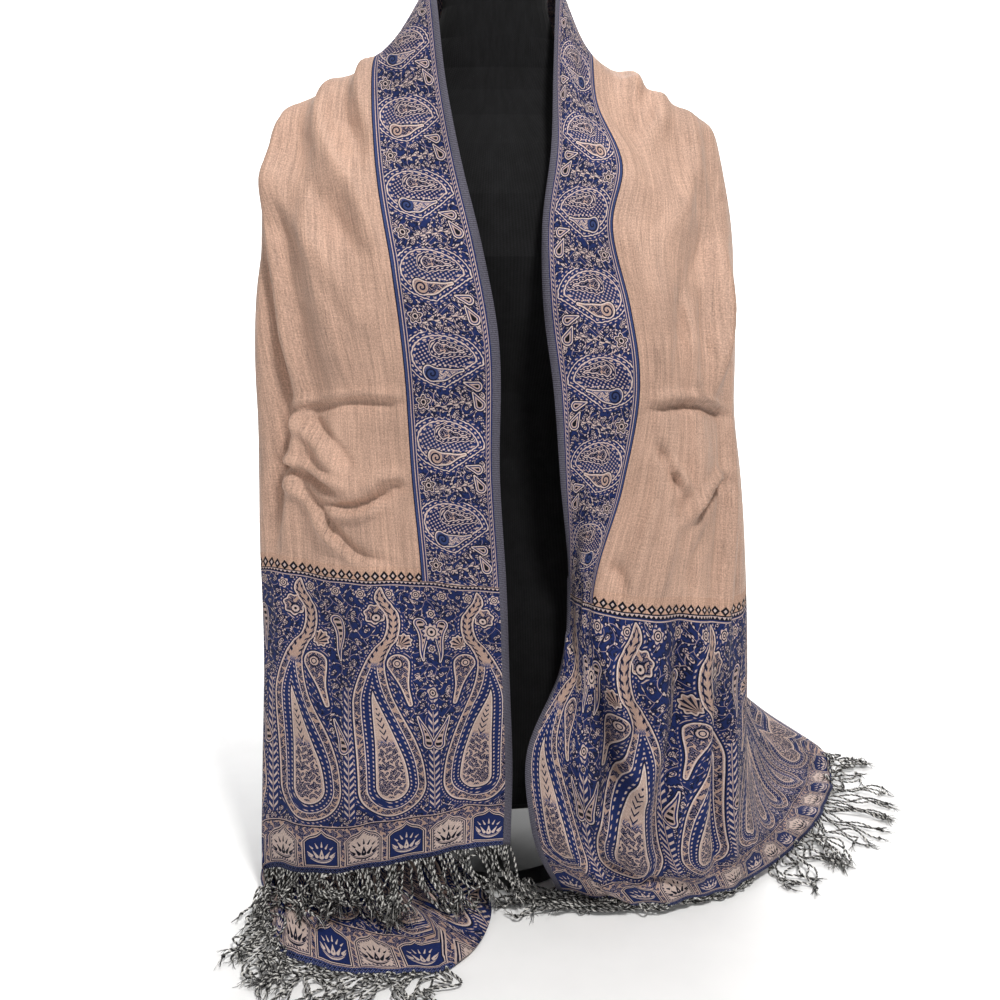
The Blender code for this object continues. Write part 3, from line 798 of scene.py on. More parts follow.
def sprays(tone, x, y, mask, pitch=8.0, seed=0.0):
    """Leaves along curling stems and small flowers, well apart on a ground."""
    xs = x + 2.2 * wave_of(y * 0.30 + seed)
    ys = y + 2.2 * wave_of(x * 0.26 + seed)
    net = cells_of(xs, ys, pitch * 1.5, "DISTANCE_TO_EDGE")
    leaf = cells_of(xs * 1.15, ys, pitch * 0.62, "F1")
    bloom = cells_of(xs, ys, pitch * 1.5, "F1")
    petals = bloom + 0.5 * wave_of(leaf * 3.0)
    # Every leaf and flower lies on a shadow of dark thread.
    tone = paint(tone, within(leaf, 2.1, 0.5) * within(net, 3.2, 0.8) * mask, 0.04)
    tone = paint(tone, within(petals, 3.3, 0.5) * mask, 0.04)
    tone = paint(tone, line_at(net, 0.0, 0.22, 0.3) * mask, 0.8)
    tone = paint(tone, within(leaf, 0.95, 0.5) * within(net, 2.3, 0.8) * mask, 0.96)
    tone = paint(tone, within(petals, 2.2, 0.5) * mask, 0.9)
    return paint(tone, line_at(bloom, 1.15, 0.36, 0.4) * mask, DARK)


def filigree(x, y, pitch=3.7):
    """Dark rings and dots, close together, that read as small scrolls."""
    xs = x + 1.2 * wave_of(y * 0.85)
    ys = y + 1.2 * wave_of(x * 0.75)
    ring = cells_of(xs, ys, pitch, "F1")
    return most(line_at(ring, 1.35, 0.46, 0.4), within(ring, 0.45, 0.4))


def blot(tone, d, filling, marks, mask=1.0):
    """A small filled figure: a dark edge, a cream line and dark marks inside."""
    tone = paint(tone, within(d, 1.3) * mask, DARK)
    tone = paint(tone, within(d, 0.45) * mask, CREAM)
    tone = paint(tone, within(d, -0.65) * mask, filling)
    return paint(tone, within(d, -1.4) * marks * mask, DARK + 0.03)


def strip_tone(x, y):
    """The border strip; x from the selvedge, y along the cloth, in mm."""
    pitch = 76.0
    spot = calc("FLOORED_MODULO", y - 303.0, pitch) - 14.0
    count = calc("FLOOR", (y - 303.0) * (1 / pitch))
    other = calc("FLOORED_MODULO", count, 2.0)
    tone = x * 0.0 + GROUND
    # The large paisley lies across the strip, cut off at its lower corner.
    dx = (x - 50.0) * 0.74
    dy = spot - 39.0
    around = angle_of(dx, dy)
    egg = span(dx, dy) - 25.4 - 1.0 * wave_of(around * 2.0 + 0.5)
    corner = dx * -0.66 - dy * 0.75 - 18.5
    body = most(egg, corner) + 0.35 * wave_of(y * 0.9) * wave_of(x * 1.1)
    tone = sprays(tone, x, spot + count * 13.0, beyond(body, 3.6, 0.6), 7.2)
    # A garland of leaves from the flower to the buds.
    garland = spot - (60.0 - x) * 0.22 + 4.0
    reach = beyond(x, 19.0) * within(x, 66.0) * beyond(body, 1.6)
    # Leaves lean off its stem in turn, one above and one below, and are cleft.
    lean = x + 0.9 * size_of(garland)
    sway = wave_of(lean * 0.56)
    leaves = size_of(garland - 2.3 * sway) - 2.3 * size_of(sway) + 0.5
    tone = paint(tone, within(leaves, 1.1) * reach, 0.04)
    tone = paint(tone, within(leaves, 0.0) * reach, 0.95)
    tone = paint(tone, within(leaves, -0.9) * line_at(garland - 2.3 * sway, 0.0, 0.3, 0.3) * reach, DARK)
    tone = paint(tone, line_at(garland - 0.4 * sway, 0.0, 0.26, 0.3) * reach, 0.86)
    tone = paint(tone, dots_at(body, 2.1, 0.5, around * 36.0), 0.82)
    tone = paint(tone, within(body, 0.9), DARK)
    tone = paint(tone, within(body, -0.7), GROUND)
    tone = paint(tone, line_at(body, 0.0, 0.5), CREAM)
    tone = paint(tone, dots_at(body, -2.3, 0.55, around * 32.0), 0.9)
    tone = paint(tone, line_at(body, -4.4, 0.6), 0.95)
    tone = paint(tone, dots_at(body, -6.3, 0.75, around * 22.0), 0.85)
    inner = within(body, -7.4)
    tone = paint(tone, inner * other, 0.33)
    sown = wave_of(x * 1.35 + spot * 0.5) * wave_of(spot * 1.45 - x * 0.3)
    tone = paint(tone, inner * beyond(sown, 0.42, 0.3), 0.84)
    tone = paint(tone, inner * within(sown, -0.62, 0.3), 0.04)
    # A feather-shaped leaf, bent at its tip, in two outlines and full of scrolls.
    bend = spot - 45.5 + 2.6 * wave_of(x * 0.075 + 0.6)
    leaf_out = tapered(x, bend, (54.0, 0.0, 8.6), (27.0, 2.0, 3.0)) + 0.45 * wave_of(x * 0.9)
    leaf_in = leaf_out + 3.7
    seeds = filigree(x, spot, 3.1)
    upper = within(body, -5.6)
    tone = paint(tone, within(leaf_out, 1.1) * upper, 0.1)
    tone = paint(tone, line_at(leaf_out, 0.0, 0.42) * upper, 0.95)
    tone = paint(tone, dots_at(leaf_out, -1.9, 0.6, x * 1.5 + spot * 1.1) * upper, 0.9)
    tone = paint(tone, within(leaf_in, 0.4) * upper, 0.97)
    tone = paint(tone, within(leaf_in, -0.5) * upper, PINK)
    tone = paint(tone, within(leaf_in, -0.6) * seeds * upper, DARK)
    tone = paint(tone, dots_at(spot, 33.6, 0.7, x * 1.3) * within(body, -7.5), 0.95)
    # The curled drop at the foot.
    curl = tapered(x, spot + 1.6 * wave_of(x * 0.15), (62.0, 25.5, 7.2), (34.0, 29.0, 1.0)) + 0.5 * wave_of(x * 0.33 + 1.0)
    swirl = span(x - 62.0, spot - 25.5)
    turning = swirl + 0.62 * angle_of(x - 62.0, spot - 25.5)
    here = within(body, -1.6)
    filling = calc("MULTIPLY_ADD", other, PINK - 0.36, 0.36)
    tone = blot(tone, curl, filling, 0.0, here)
    tone = paint(tone, within(curl, -1.3) * beyond(swirl, 6.4) * seeds * here, calc("MULTIPLY_ADD", other, 0.02 - 0.9, 0.9))
    tone = paint(tone, within(curl, -0.9) * beyond(wave_of(turning * 1.62), 0.35, 0.4) * within(swirl, 6.4) * here, 0.04)
    # A five-petalled flower and two buds between the paisleys.
    fx, fy = x - 71.5, spot + 0.5
    ring = span(fx, fy)
    petal = ring - 5.6 - 1.3 * wave_of(angle_of(fx, fy) * 5.0)
    tone = paint(tone, within(petal, 1.5), GROUND)
    tone = paint(tone, line_at(petal, 0.0, 0.6), 0.95)
    tone = paint(tone, within(petal, -0.6), DARK)
    tone = paint(tone, line_at(ring, 2.2, 0.5), 0.95)
    tone = paint(tone, line_at(petal, -2.4, 0.35), 0.85)
    for root, tip in (((19.5, 0.5, 5.2), (25.5, 11.0, 0.6)), ((21.5, 17.0, 4.3), (33.0, 19.8, 0.5))):
        bud = tapered(x, spot, root, tip)
        tone = blot(tone, bud, GROUND, 0.0, beyond(body, 0.6))
        tone = paint(tone, within(bud, -1.7) * beyond(body, 0.6), PINK + 0.08)
        tone = paint(tone, within(bud, -3.0) * beyond(body, 0.6), DARK)
    # Lines along both sides of the strip.
    tone = paint(tone, within(x, 13.6), GROUND)
    tone = paint(tone, line_at(x, 11.2, 0.8) * beyond(wave_of(y * 1.5 + x * 2.0), 0.0, 0.5), 0.85)
    tone = paint(tone, line_at(x, 13.1, 0.35), 0.8)
    tone = paint(tone, line_at(x, 9.4, 0.4), 0.85)
    tone = paint(tone, beyond(x, 80.4), GROUND)
    tone = paint(tone, line_at(x, 81.2, 0.4), 0.88)
    tone = paint(tone, line_at(x, 83.9, 0.5), 0.85)
    tone = paint(tone, line_at(x, 86.0, 0.8), 0.40)
    tone = paint(tone, beyond(x, 87.2), DARK)
    return tone


BUTA = (
    # height above the bulb's middle, sideways place of the spine, half width,
    # half width of the drop inside, mm
    (0, 0.0, 33.0, 16.0),
    (20, -1.5, 32.0, 14.8),
    (40, -5.0, 29.5, 11.6),
    (60, -10.0, 26.0, 7.8),
    (78, -15.0, 22.0, 3.8),
    (92, -18.0, 18.5, 0.6),
    (108, -18.0, 14.0, -3.0),
    (124, -15.0, 10.0, -4.0),
    (140, -7.0, 8.0, -4.0),
    (153, 2.5, 6.6, -4.0),
    (169, 4.5, 6.2, -4.0),
    (185, -3.0, 6.5, -4.0),
    (196, -8.0, 4.4, -4.0),
    (204, -7.0, 0.5, -4.0),
)


def panel_tone(v, a):
    """The end panel; v across from the selvedge, a up from the fringe, in mm."""
    tone = v * 0.0 + GROUND
    first = within(v, 80.0, 0.01)
    cell = calc("FLOORED_MODULO", v - 80.0, 84.0)
    # Sideways from the middle of the buta: the first two face each other.
    x = calc("MULTIPLY_ADD", first, (v - 38.0) - (42.0 - cell), 42.0 - cell)
    y = a - 88.0
    spine = read_curve(y, [(p[0], p[1]) for p in BUTA], -30.0, 30.0)
    half = read_curve(y, [(p[0], p[2]) for p in BUTA], 0.0, 40.0)
    drop = read_curve(y, [(p[0], p[3]) for p in BUTA], -6.0, 20.0)
    below = within(y, 0.0, 0.01)
    sideways = size_of(x - spine)
    bulb = span(x, y)
    body = calc("MULTIPLY_ADD", below, (bulb - 33.0) - (sideways - half), sideways - half)
    body = most(body, y - 204.0)
    core = calc("MULTIPLY_ADD", below, (bulb - 16.0) - (sideways - drop), sideways - drop)
    head = span(x + 13.0, y - 176.0) - 9.8 - 0.9 * wave_of(angle_of(x + 13.0, y - 176.0) * 7.0)
    fan = span(x - 14.5, y - 147.0) - 7.4 - 0.8 * wave_of(angle_of(x - 14.5, y - 147.0) * 9.0)
    hang = tapered(x, y, (8.5, 123.0, 10.0), (19.5, 82.0, 0.8)) + 1.1 * wave_of(y * 0.14)
    whole = least(least(body, head), least(fan, hang))
    # Ground: sprays, dotted outlines, a leafy stem between two butas.
    tone = sprays(tone, v, a, beyond(whole, 4.4, 0.6), 8.2, 2.0)
    tone = paint(tone, within(whole, 4.0), GROUND)
    tone = paint(tone, dots_at(whole, 2.8, 0.6, x * 1.25 + y * 1.55), 0.86)
    stem = 42.0 - size_of(x)
    clear = within(stem, 6.4) * beyond(whole, 3.6) * within(a, 188.0) * beyond(a, 58.0)
    tone = paint(tone, clear, GROUND)
    chevrons = wave_of(y * 0.86 - stem * 0.95)
    tone = paint(tone, clear * beyond(chevrons, 0.35, 0.35) * within(stem, 5.2) * beyond(stem, 0.9), 0.93)
    tone = paint(tone, clear * within(stem, 0.4), 0.85)
    bow = 3.0 * wave_of(y * 0.11)
    spur = tapered(x + bow, y, (34.0, 42.0, 6.0), (29.0, 68.0, 0.8))
    pod = tapered(x + bow, y, (29.0, 165.0, 6.2), (36.0, 126.0, 0.8))
    for figure in (spur, pod):
        tone = blot(tone, figure, GROUND, 0.0, beyond(whole, 2.0))
        tone = paint(tone, within(figure, -1.9) * beyond(whole, 2.0), PINK + 0.06)
        tone = paint(tone, within(figure, -3.0) * beyond(wave_of(y * 1.1), 0.0, 0.4) * beyond(whole, 2.0), DARK)
    # The buta's outline, and a band of small scrolls inside it.
    marks = filigree(x, y)
    # Up the neck the scrolls give way to a vein with a short dark leaf on each side.
    leafy = beyond(wave_of(y * 0.95 - sideways * 0.9), 0.42, 0.4) * beyond(sideways, 1.2) * beyond(body, -5.4)
    leafy = most(leafy, line_at(body, -2.6, 0.4))
    high = beyond(y, 122.0, 8.0)
    tone = blot(tone, body, PINK, calc("MULTIPLY_ADD", high, leafy - marks, marks))
    # Blue band with dots, then the pale drop.
    low = within(y, 120.0, 1.0)
    tone = paint(tone, line_at(body, -7.4, 0.5) * low, CREAM)
    band = within(body, -7.9) * low
    tone = paint(tone, band, GROUND)
    beads = x * 0.9 + y * 1.5
    tone = paint(tone, dots_at(body, -9.9, 0.65, beads) * band, 0.93)
    tone = paint(tone, dots_at(core, 2.7, 0.65, beads) * band, 0.93)
    stalk = beyond(wave_of(y * 1.0 - sideways * 1.3), 0.62, 0.4) * within(core, -3.0) * within(sideways, 3.4)
    inside = calc("MULTIPLY_ADD", within(y, 44.0, 8.0), marks - stalk, stalk)
    tone = blot(tone, core, PINK + 0.08, inside * within(core, -2.4), band)
    # The head's scroll, the fan and the curled leaf that hangs beside the neck.
    eye = span(x + 12.0, y - 172.0)
    tone = blot(tone, head, PINK, marks, beyond(body, 0.6))
    tone = paint(tone, line_at(eye, 4.4, 0.5) * beyond(body, 0.8), DARK)
    tone = paint(tone, within(eye, 3.4) * beyond(body, 0.8), 0.9)
    tone = paint(tone, within(eye, 1.3) * beyond(body, 0.8), DARK)
    ribs = beyond(wave_of(angle_of(x - 10.0, y - 143.0) * 14.0), 0.1, 0.4)
    tone = blot(tone, fan, PINK, ribs, beyond(body, 1.0))
    tone = paint(tone, within(hang, 2.6), GROUND)
    tone = blot(tone, hang, PINK, marks)
    eye = span(x - 7.5, y - 124.0)
    tone = paint(tone, line_at(eye, 5.2, 0.5), DARK)
    tone = paint(tone, within(eye, 4.2), PINK + 0.08)
    tone = paint(tone, line_at(eye, 2.4, 0.45), DARK)
    # Flowers on the line between the two that face each other, and along the top.
    mid_x = v - 80.0
    for height, radius, petals in ((244.0, 8.2, 10), (226.0, 4.0, 6), (264.0, 4.6, 6), (180.0, 5.4, 4), (166.0, 3.0, 4)):
        ring = span(mid_x, a - height)
        lobes = ring - radius - radius * 0.15 * wave_of(angle_of(mid_x, a - height) * petals)
        tone = paint(tone, within(lobes, 1.6), GROUND)
        tone = paint(tone, within(lobes, 0.0), 0.9)
        tone = paint(tone, line_at(ring, radius * 0.58, 0.55), DARK)
        tone = paint(tone, within(ring, radius * 0.22), DARK)
    top_x = repeat(v, 27.0)
    ring = span(top_x, a - 285.0)
    lobes = ring - 5.0 - 0.8 * wave_of(angle_of(top_x, a - 285.0) * 6.0)
    clear = beyond(whole, 2.0)
    tone = paint(tone, within(lobes, 1.4) * clear, GROUND)
    tone = paint(tone, within(lobes, 0.0) * clear, 0.9)
    tone = paint(tone, line_at(ring, 3.4, 0.45) * clear, DARK)
    tone = paint(tone, line_at(ring, 1.4, 0.45) * clear, DARK)
    # Band of cartouches under a scrolled band.
    tone = paint(tone, within(a, 50.0), CREAM * 0.85)
    tone = paint(tone, within(a, 49.0), DARK)
    base = calc("MULTIPLY_ADD", marks, -0.66, PINK)
    tone = calc("MULTIPLY_ADD", within(a, 47.8), base - tone, tone)
    cx = repeat(v - 2.0, 42.5)
    turn_c = calc("FLOORED_MODULO", calc("FLOOR", (v - 2.0) * (1 / 42.5)), 2.0)
    ax = size_of(cx)
    # Pointed above, with a small swell at each shoulder.
    roof = ax * 0.54 + (a - 44.5) * 0.84 + 0.9 * wave_of(ax * 0.37)
    frame_d = most(most(ax - 17.8, roof), 6.4 - a)
    tone = paint(tone, within(frame_d, 1.5), 0.9)
    tone = paint(tone, within(frame_d, 0.3), DARK)
    tone = paint(tone, within(frame_d, -0.7), 0.94)
    tone = paint(tone, within(frame_d, -1.7), DARK)
    fill = calc("MULTIPLY_ADD", turn_c, PINK + 0.18 - GROUND, GROUND)
    tone = calc("MULTIPLY_ADD", within(frame_d, -2.4), fill - tone, tone)
    ink = calc("MULTIPLY_ADD", turn_c, DARK - CREAM, CREAM)
    # A water flower: a boat of leaves that carries a bud and standing petals.
    boat = within(span(cx * 0.85, a - 22.0), 11.6) * beyond(span(cx * 0.85, a - 25.4), 12.3)
    boat = boat * beyond(size_of(a - 12.3 - ax * ax * 0.03), 0.35, 0.3)
    petals = within(tapered(cx, a, (0.0, 17.0, 2.6), (0.0, 24.5, 0.3)))
    for root, tip in (
        ((4.6, 17.0, 1.7), (8.6, 23.5, 0.2)),
        ((9.6, 18.0, 1.4), (13.8, 22.5, 0.2)),
        ((0.0, 28.0, 1.0), (0.0, 33.0, 0.2)),
        ((4.2, 26.6, 1.0), (6.4, 31.2, 0.2)),
        ((9.0, 25.8, 0.9), (11.8, 28.6, 0.2)),
    ):
        petals = petals + within(tapered(ax, a, root, tip))
    petals = petals * beyond(size_of(cx) + size_of(a - 18.5) * 0.5, 0.7, 0.4)
    mark = calc("MINIMUM", boat + petals, 1.0) * within(frame_d, -3.2)
    tone = calc("MULTIPLY_ADD", mark, ink - tone, tone)
    scallops = dots_at(frame_d, -3.3, 0.55, a * 1.7 + cx * 1.7) * turn_c
    tone = paint(tone, scallops, DARK)
    # Hem line above the fringe.
    tone = paint(tone, within(a, 6.4), 0.36 + 0.26 * wave_of(v * 2.6) * wave_of(a * 2.2))
    tone = paint(tone, line_at(a, 6.0, 0.4), 0.8)
    tone = paint(tone, line_at(a, 3.2, 0.5) * beyond(wave_of(v * 1.3), 0.0, 0.5), DARK)
    # Lines at the top of the panel.
    tone = paint(tone, beyond(a, 293.6), GROUND)
    tone = paint(tone, line_at(a, 294.4, 0.5), CREAM * 0.85)
    teeth = beyond(wave_of(v * 1.47) * 0.8 + (a - 297.4) * 0.9, 0.0, 0.4)
    tone = paint(tone, beyond(a, 295.8), DARK)
    tone = paint(tone, teeth * beyond(a, 295.8), CREAM * 0.9)
    tone = paint(tone, beyond(a, 298.6), DARK)
    # The row of small diamonds that stands on the panel, over the plain field.
    diamond = size_of(repeat(v, 8.6)) + size_of(a - 303.6) * 0.85
    cover = most(within(a, 299.6), within(diamond, 4.2))
    tone = paint(tone, beyond(a, 299.6) * within(diamond, 4.2), DARK)
    tone = paint(tone, beyond(a, 299.6) * within(diamond, 1.7), CREAM * 0.9)
    return tone, cover


def srgb(r, g, b):
    return tuple(
        (c / 255 / 12.92) if c <= 10 else ((c / 255 + 0.055) / 1.055) ** 2.4
        for c in (r, g, b)
    )


FACE_TONES = (
    # tone, red, green, blue
    (0.00, 12, 12, 24),
    (0.25, 23, 38, 88),
    (0.50, 66, 80, 122),
    (0.75, 176, 148, 134),
    (1.00, 210, 192, 184),
)
BACK_TONES = (
    (0.00, 112, 98, 104),
    (0.25, 152, 132, 130),
    (0.50, 132, 122, 132),
    (0.75, 66, 66, 92),
    (1.00, 58, 60, 88),
)


def ramp_of(tone, stops):
    tree = tone.tree
    node = tree.nodes.new("ShaderNodeValToRGB")
    ramp = node.color_ramp
    ramp.interpolation = "LINEAR"
    ramp.elements[0].position = stops[0][0]
    ramp.elements[1].position = stops[-1][0]
    for at, _, _, _ in stops[1:-1]:
        ramp.elements.new(at)
    for spot, (_, r, g, b) in zip(ramp.elements, stops):
        spot.color = (*srgb(r, g, b), 1)
    tree.links.new(tone.socket, node.inputs[0])
    return node.outputs[0]


def group_of(name, labels, build):
    """A node group of what build makes from its inputs."""
    tree = bpy.data.node_groups.new(name, "ShaderNodeTree")
    for label in labels:
        tree.interface.new_socket(label, in_out="INPUT", socket_type="NodeSocketFloat")
    enter = tree.nodes.new("NodeGroupInput")
    made = build(*[Num(tree, enter.outputs[k]) for k in range(len(labels))])
    made = made if isinstance(made, tuple) else (made,)
    for k in range(len(made)):
        tree.interface.new_socket(f"result_{k}", in_out="OUTPUT", socket_type="NodeSocketFloat")
    leave = tree.nodes.new("NodeGroupOutput")
    for k, value in enumerate(made):
        tree.links.new(value.socket, leave.inputs[k])
    return tree


def use(group, *terms):
    tree = terms[0].tree
    node = tree.nodes.new("ShaderNodeGroup")
    node.node_tree = group
    for k, term in enumerate(terms):
        tree.links.new(term.socket, node.inputs[k])
    return [Num(tree, socket) for socket in node.outputs]


STRIP_PATTERN = group_of("strip_pattern", ("from_selvedge", "along"), strip_tone)
PANEL_PATTERN = group_of("panel_pattern", ("across", "from_end"), panel_tone)


def mixed(tree, mask, first, second):
    node = tree.nodes.new("ShaderNodeMix")
    node.data_type = "RGBA"
    tree.links.new(mask.socket, node.inputs[0])
    for socket, value in ((node.inputs[6], first), (node.inputs[7], second)):
        if isinstance(value, tuple):
            socket.default_value = (*value, 1)
        else:
            tree.links.new(value, socket)
    return node.outputs[2]


def cloth_material(name, field=False, strip=False, panel=False, back=False):
    """One side of the cloth, with the parts of the pattern that reach it."""
    made = bpy.data.materials.new(name)
    made.use_nodes = True
    tree = made.node_tree
    shader = tree.nodes["Principled BSDF"]
    source = tree.nodes.new("ShaderNodeUVMap")
    source.uv_map = "cloth"
    split = tree.nodes.new("ShaderNodeSeparateXYZ")
    tree.links.new(source.outputs[0], split.inputs[0])
    a = Num(tree, split.outputs[0]) * 1000.0
    v = Num(tree, split.outputs[1]) * 1000.0
    edge = least(v, 700.0 - v)
    whole_length = tree.nodes.new("ShaderNodeUVMap")
    whole_length.uv_map = "weave"
    apart = tree.nodes.new("ShaderNodeSeparateXYZ")
    tree.links.new(whole_length.outputs[0], apart.inputs[0])
    s = Num(tree, apart.outputs[0]) * 1000.0

    # Yarns: long slubs along the cloth, short ones across it, and a fine twill.
    slub = noise_of(s, v, 0.011, 0.42, 3.0)
    thread = noise_of(s, v, 0.045, 1.5, 2.0)
    cross = noise_of(s, v, 0.8, 0.03, 2.0)
    cloudy = noise_of(s, v, 0.012, 0.014, 2.0)
    grain = noise_of(s, v, 0.62, 0.75, 3.0, 0.8)
    twill = wave_of((s + v) * 6.6)
    shade = 0.98 + 0.72 * (slub - 0.5) + 0.62 * (thread - 0.5) + 0.3 * (cross - 0.5) + 0.34 * (cloudy - 0.5)
    shade = shade + 0.035 * twill + 1.6 * (grain - 0.5)

    colour = None
    base = srgb(184, 150, 131) if not back else srgb(172, 142, 125)
    tone_map = BACK_TONES if back else FACE_TONES
    wear = 0.94 + 1.2 * (grain - 0.5) + 0.5 * (cloudy - 0.5) + 0.06 * twill
    if field:
        colour = base
    if strip:
        made_strip = ramp_of(use(STRIP_PATTERN, edge, a)[0], tone_map)
        if colour is None:
            colour = made_strip
        else:
            colour = mixed(tree, within(edge, 88.0), colour, made_strip)
            shade = calc("MULTIPLY_ADD", within(edge, 88.0), wear - shade, shade)
    if panel:
        tone, cover = use(PANEL_PATTERN, v, a)
        made_panel = ramp_of(tone, tone_map)
        colour = mixed(tree, cover, base if colour is None else colour, made_panel)
        shade = calc("MULTIPLY_ADD", cover, wear - shade, shade)
    elif strip and not field:
        shade = wear
    if strip or panel:
        ribs = 0.88 + 0.34 * wave_of(a * 3.6 + v * 0.6) + 1.6 * (grain - 0.5)
        grey = within(edge + 1.0 * (noise_of(a, v, 0.35, 0.05) - 0.5), 7.6, 0.6)
        colour = mixed(tree, grey, colour, srgb(88, 86, 98) if not back else srgb(96, 92, 100))
        shade = calc("MULTIPLY_ADD", grey, ribs - shade, shade)

    scale = tree.nodes.new("ShaderNodeVectorMath")
    scale.operation = "SCALE"
    if isinstance(colour, tuple):
        scale.inputs[0].default_value = colour
    else:
        tree.links.new(colour, scale.inputs[0])
    tree.links.new(shade.socket, scale.inputs["Scale"])
    tree.links.new(scale.outputs[0], shader.inputs["Base Color"])

    plain_cloth = field and not strip
    shader.inputs["Roughness"].default_value = 0.52 if plain_cloth else 0.74
    shader.inputs["Specular IOR Level"].default_value = 0.38 if plain_cloth else 0.18
    shader.inputs["Sheen Weight"].default_value = 0.16 if plain_cloth else 0.02
    shader.inputs["Sheen Roughness"].default_value = 0.4
    shader.inputs["Sheen Tint"].default_value = (1.0, 0.93, 0.86, 1.0)

    # Soft crumples a few centimetres long, under the relief of the weave.
    soft = noise_of(s, v, 0.020, 0.034, 2.0, 0.5)
    crumple = tree.nodes.new("ShaderNodeBump")
    crumple.inputs["Strength"].default_value = 0.55
    crumple.inputs["Distance"].default_value = 0.010
    tree.links.new(soft.socket, crumple.inputs["Height"])
    height = 0.5 * twill + 2.2 * (thread - 0.5) + 3.0 * (slub - 0.5) + 1.4 * (cross - 0.5) + 1.5 * (grain - 0.5)
    relief = tree.nodes.new("ShaderNodeBump")
    relief.inputs["Strength"].default_value = 0.45
    relief.inputs["Distance"].default_value = 0.0003
    tree.links.new(height.socket, relief.inputs["Height"])
    tree.links.new(crumple.outputs[0], relief.inputs["Normal"])
    tree.links.new(relief.outputs[0], shader.inputs["Normal"])
    return made


def surface(name, dark, light_tone, roughness, build, bump_height=0.0003, strength=0.5, sheen=0.0, gloss=0.4):
    """A finish whose colour runs from dark to light_tone and whose relief
    follows build(x, y, z), in mm of the object's own space."""
    made = bpy.data.materials.new(name)
    made.use_nodes = True
    tree = made.node_tree
    shader = tree.nodes["Principled BSDF"]
    source = tree.nodes.new("ShaderNodeTexCoord")
    split = tree.nodes.new("ShaderNodeSeparateXYZ")
    tree.links.new(source.outputs["Object"], split.inputs[0])
    x, y, z = (Num(tree, split.outputs[k]) * 1000.0 for k in range(3))
    amount = build(x, y, z)
    colour = mixed(tree, calc("ADD", amount, 0.0, clamp=True), dark, light_tone)
    tree.links.new(colour, shader.inputs["Base Color"])
    shader.inputs["Roughness"].default_value = roughness
    shader.inputs["Specular IOR Level"].default_value = gloss
    shader.inputs["Sheen Weight"].default_value = sheen
    shader.inputs["Sheen Roughness"].default_value = 0.5
    relief = tree.nodes.new("ShaderNodeBump")
    relief.inputs["Strength"].default_value = strength
    relief.inputs["Distance"].default_value = bump_height
    tree.links.new(amount.socket, relief.inputs["Height"])
    tree.links.new(relief.outputs[0], shader.inputs["Normal"])
    return made


def knit(x, y, z):
    """Fine upright ribs of knitted loops, with slow clouds of wear."""
    around = angle_of(x, y + 20.0) * 120.0
    loops = wave_of(around * 1.6) * 0.22 + wave_of(z * 3.9 + around * 0.8) * 0.16
    return 0.42 + loops + 0.9 * (noise_of(around, z, 0.05, 0.05, 3.0) - 0.5) + 0.5 * (noise_of(around, z, 0.9, 0.25, 2.0) - 0.5)


def lacquer(x, y, z):
    return 0.5 + 1.2 * (noise_of(x + z * 0.7, y - z * 0.4, 0.9, 0.9, 3.0) - 0.5)


def table_top(x, y, z):
    return 0.5 + 0.6 * (noise_of(x, y, 0.02, 0.02, 3.0) - 0.5)


def yarn_of(x, y, z):
    """Short fibres that run with the yarn, and stretches worn pale or left dark."""
    grain = noise_of(x + z * 0.6, y + z * 0.8, 0.9, 0.9, 3.0)
    patches = noise_of(x + z * 0.9, y - z * 0.7, 0.16, 0.16, 2.0)
    return 0.42 + 2.0 * (grain - 0.5) + 3.0 * (patches - 0.5) + 0.2 * wave_of((x + y + z) * 4.0)


jersey = surface("form_jersey", srgb(7, 7, 8), srgb(24, 24, 26), 0.88, knit, 0.0003, 0.5, 0.05, 0.15)
enamel = surface("stand_enamel", srgb(16, 16, 17), srgb(26, 26, 28), 0.34, lacquer, 0.0001, 0.25)
yarn_dark = surface("fringe_dark", srgb(12, 12, 13), srgb(70, 69, 71), 0.85, yarn_of, 0.0003, 0.6, 0.08, 0.2)
yarn_light = surface("fringe_light", srgb(70, 69, 69), srgb(242, 240, 234), 0.8, yarn_of, 0.0003, 0.6, 0.08, 0.25)
paper = surface("studio", srgb(238, 238, 238), srgb(248, 248, 248), 0.9, table_top, 0.0, 0.0, 0.0, 0.1)

for node, finish in (
    ("form_torso", jersey),
    ("form_neck_cap", enamel),
    ("form_pole", enamel),
    ("form_base", enamel),
):
    solid = bpy.data.objects[node]
    solid.data.materials.clear()
    solid.data.materials.append(finish)

cloth_sides = []
for back in (False, True):
    tail = "_back" if back else ""
    cloth_sides += [
        cloth_material("shawl_strip" + tail, strip=True, back=back),
        cloth_material("shawl_panel" + tail, panel=True, back=back),
        cloth_material("shawl_field" + tail, field=True, back=back),
        cloth_material("shawl_border" + tail, field=True, strip=True, panel=True, back=back),
    ]
# The corner that lies turned over on the table shows its face on both sides.
cloth_sides += cloth_sides[:4] * 2
shawl = mesh_of("shawl", points, faces, cloth_sides)
shawl.data.polygons.foreach_set("material_index", face_mat)
for layer, places in (("cloth", face_uv), ("weave", face_weave)):
    uv = shawl.data.uv_layers.new(name=layer)
    uv.data.foreach_set("uv", [value for face in places for pair in face for value in pair])

shell = shawl.modifiers.new("shell", "SOLIDIFY")
shell.thickness = SHEET
shell.offset = 0.0
shell.material_offset = 4

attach(shawl, "root")
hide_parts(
    *[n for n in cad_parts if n.startswith("shawl_")],
)

# ------------------------------------------------------------------- fringe
CORD = 85.0  # length of each twisted cord of the fringe, mm
PLY = 0.72  # radius of each of a cord's two plies, mm
TWIST = 6.5  # length of one turn of the plies, mm
CLOTH_BELOW = BVHTree.FromPolygons([tuple(p) for p in points], [list(map(int, f)) for f in faces])

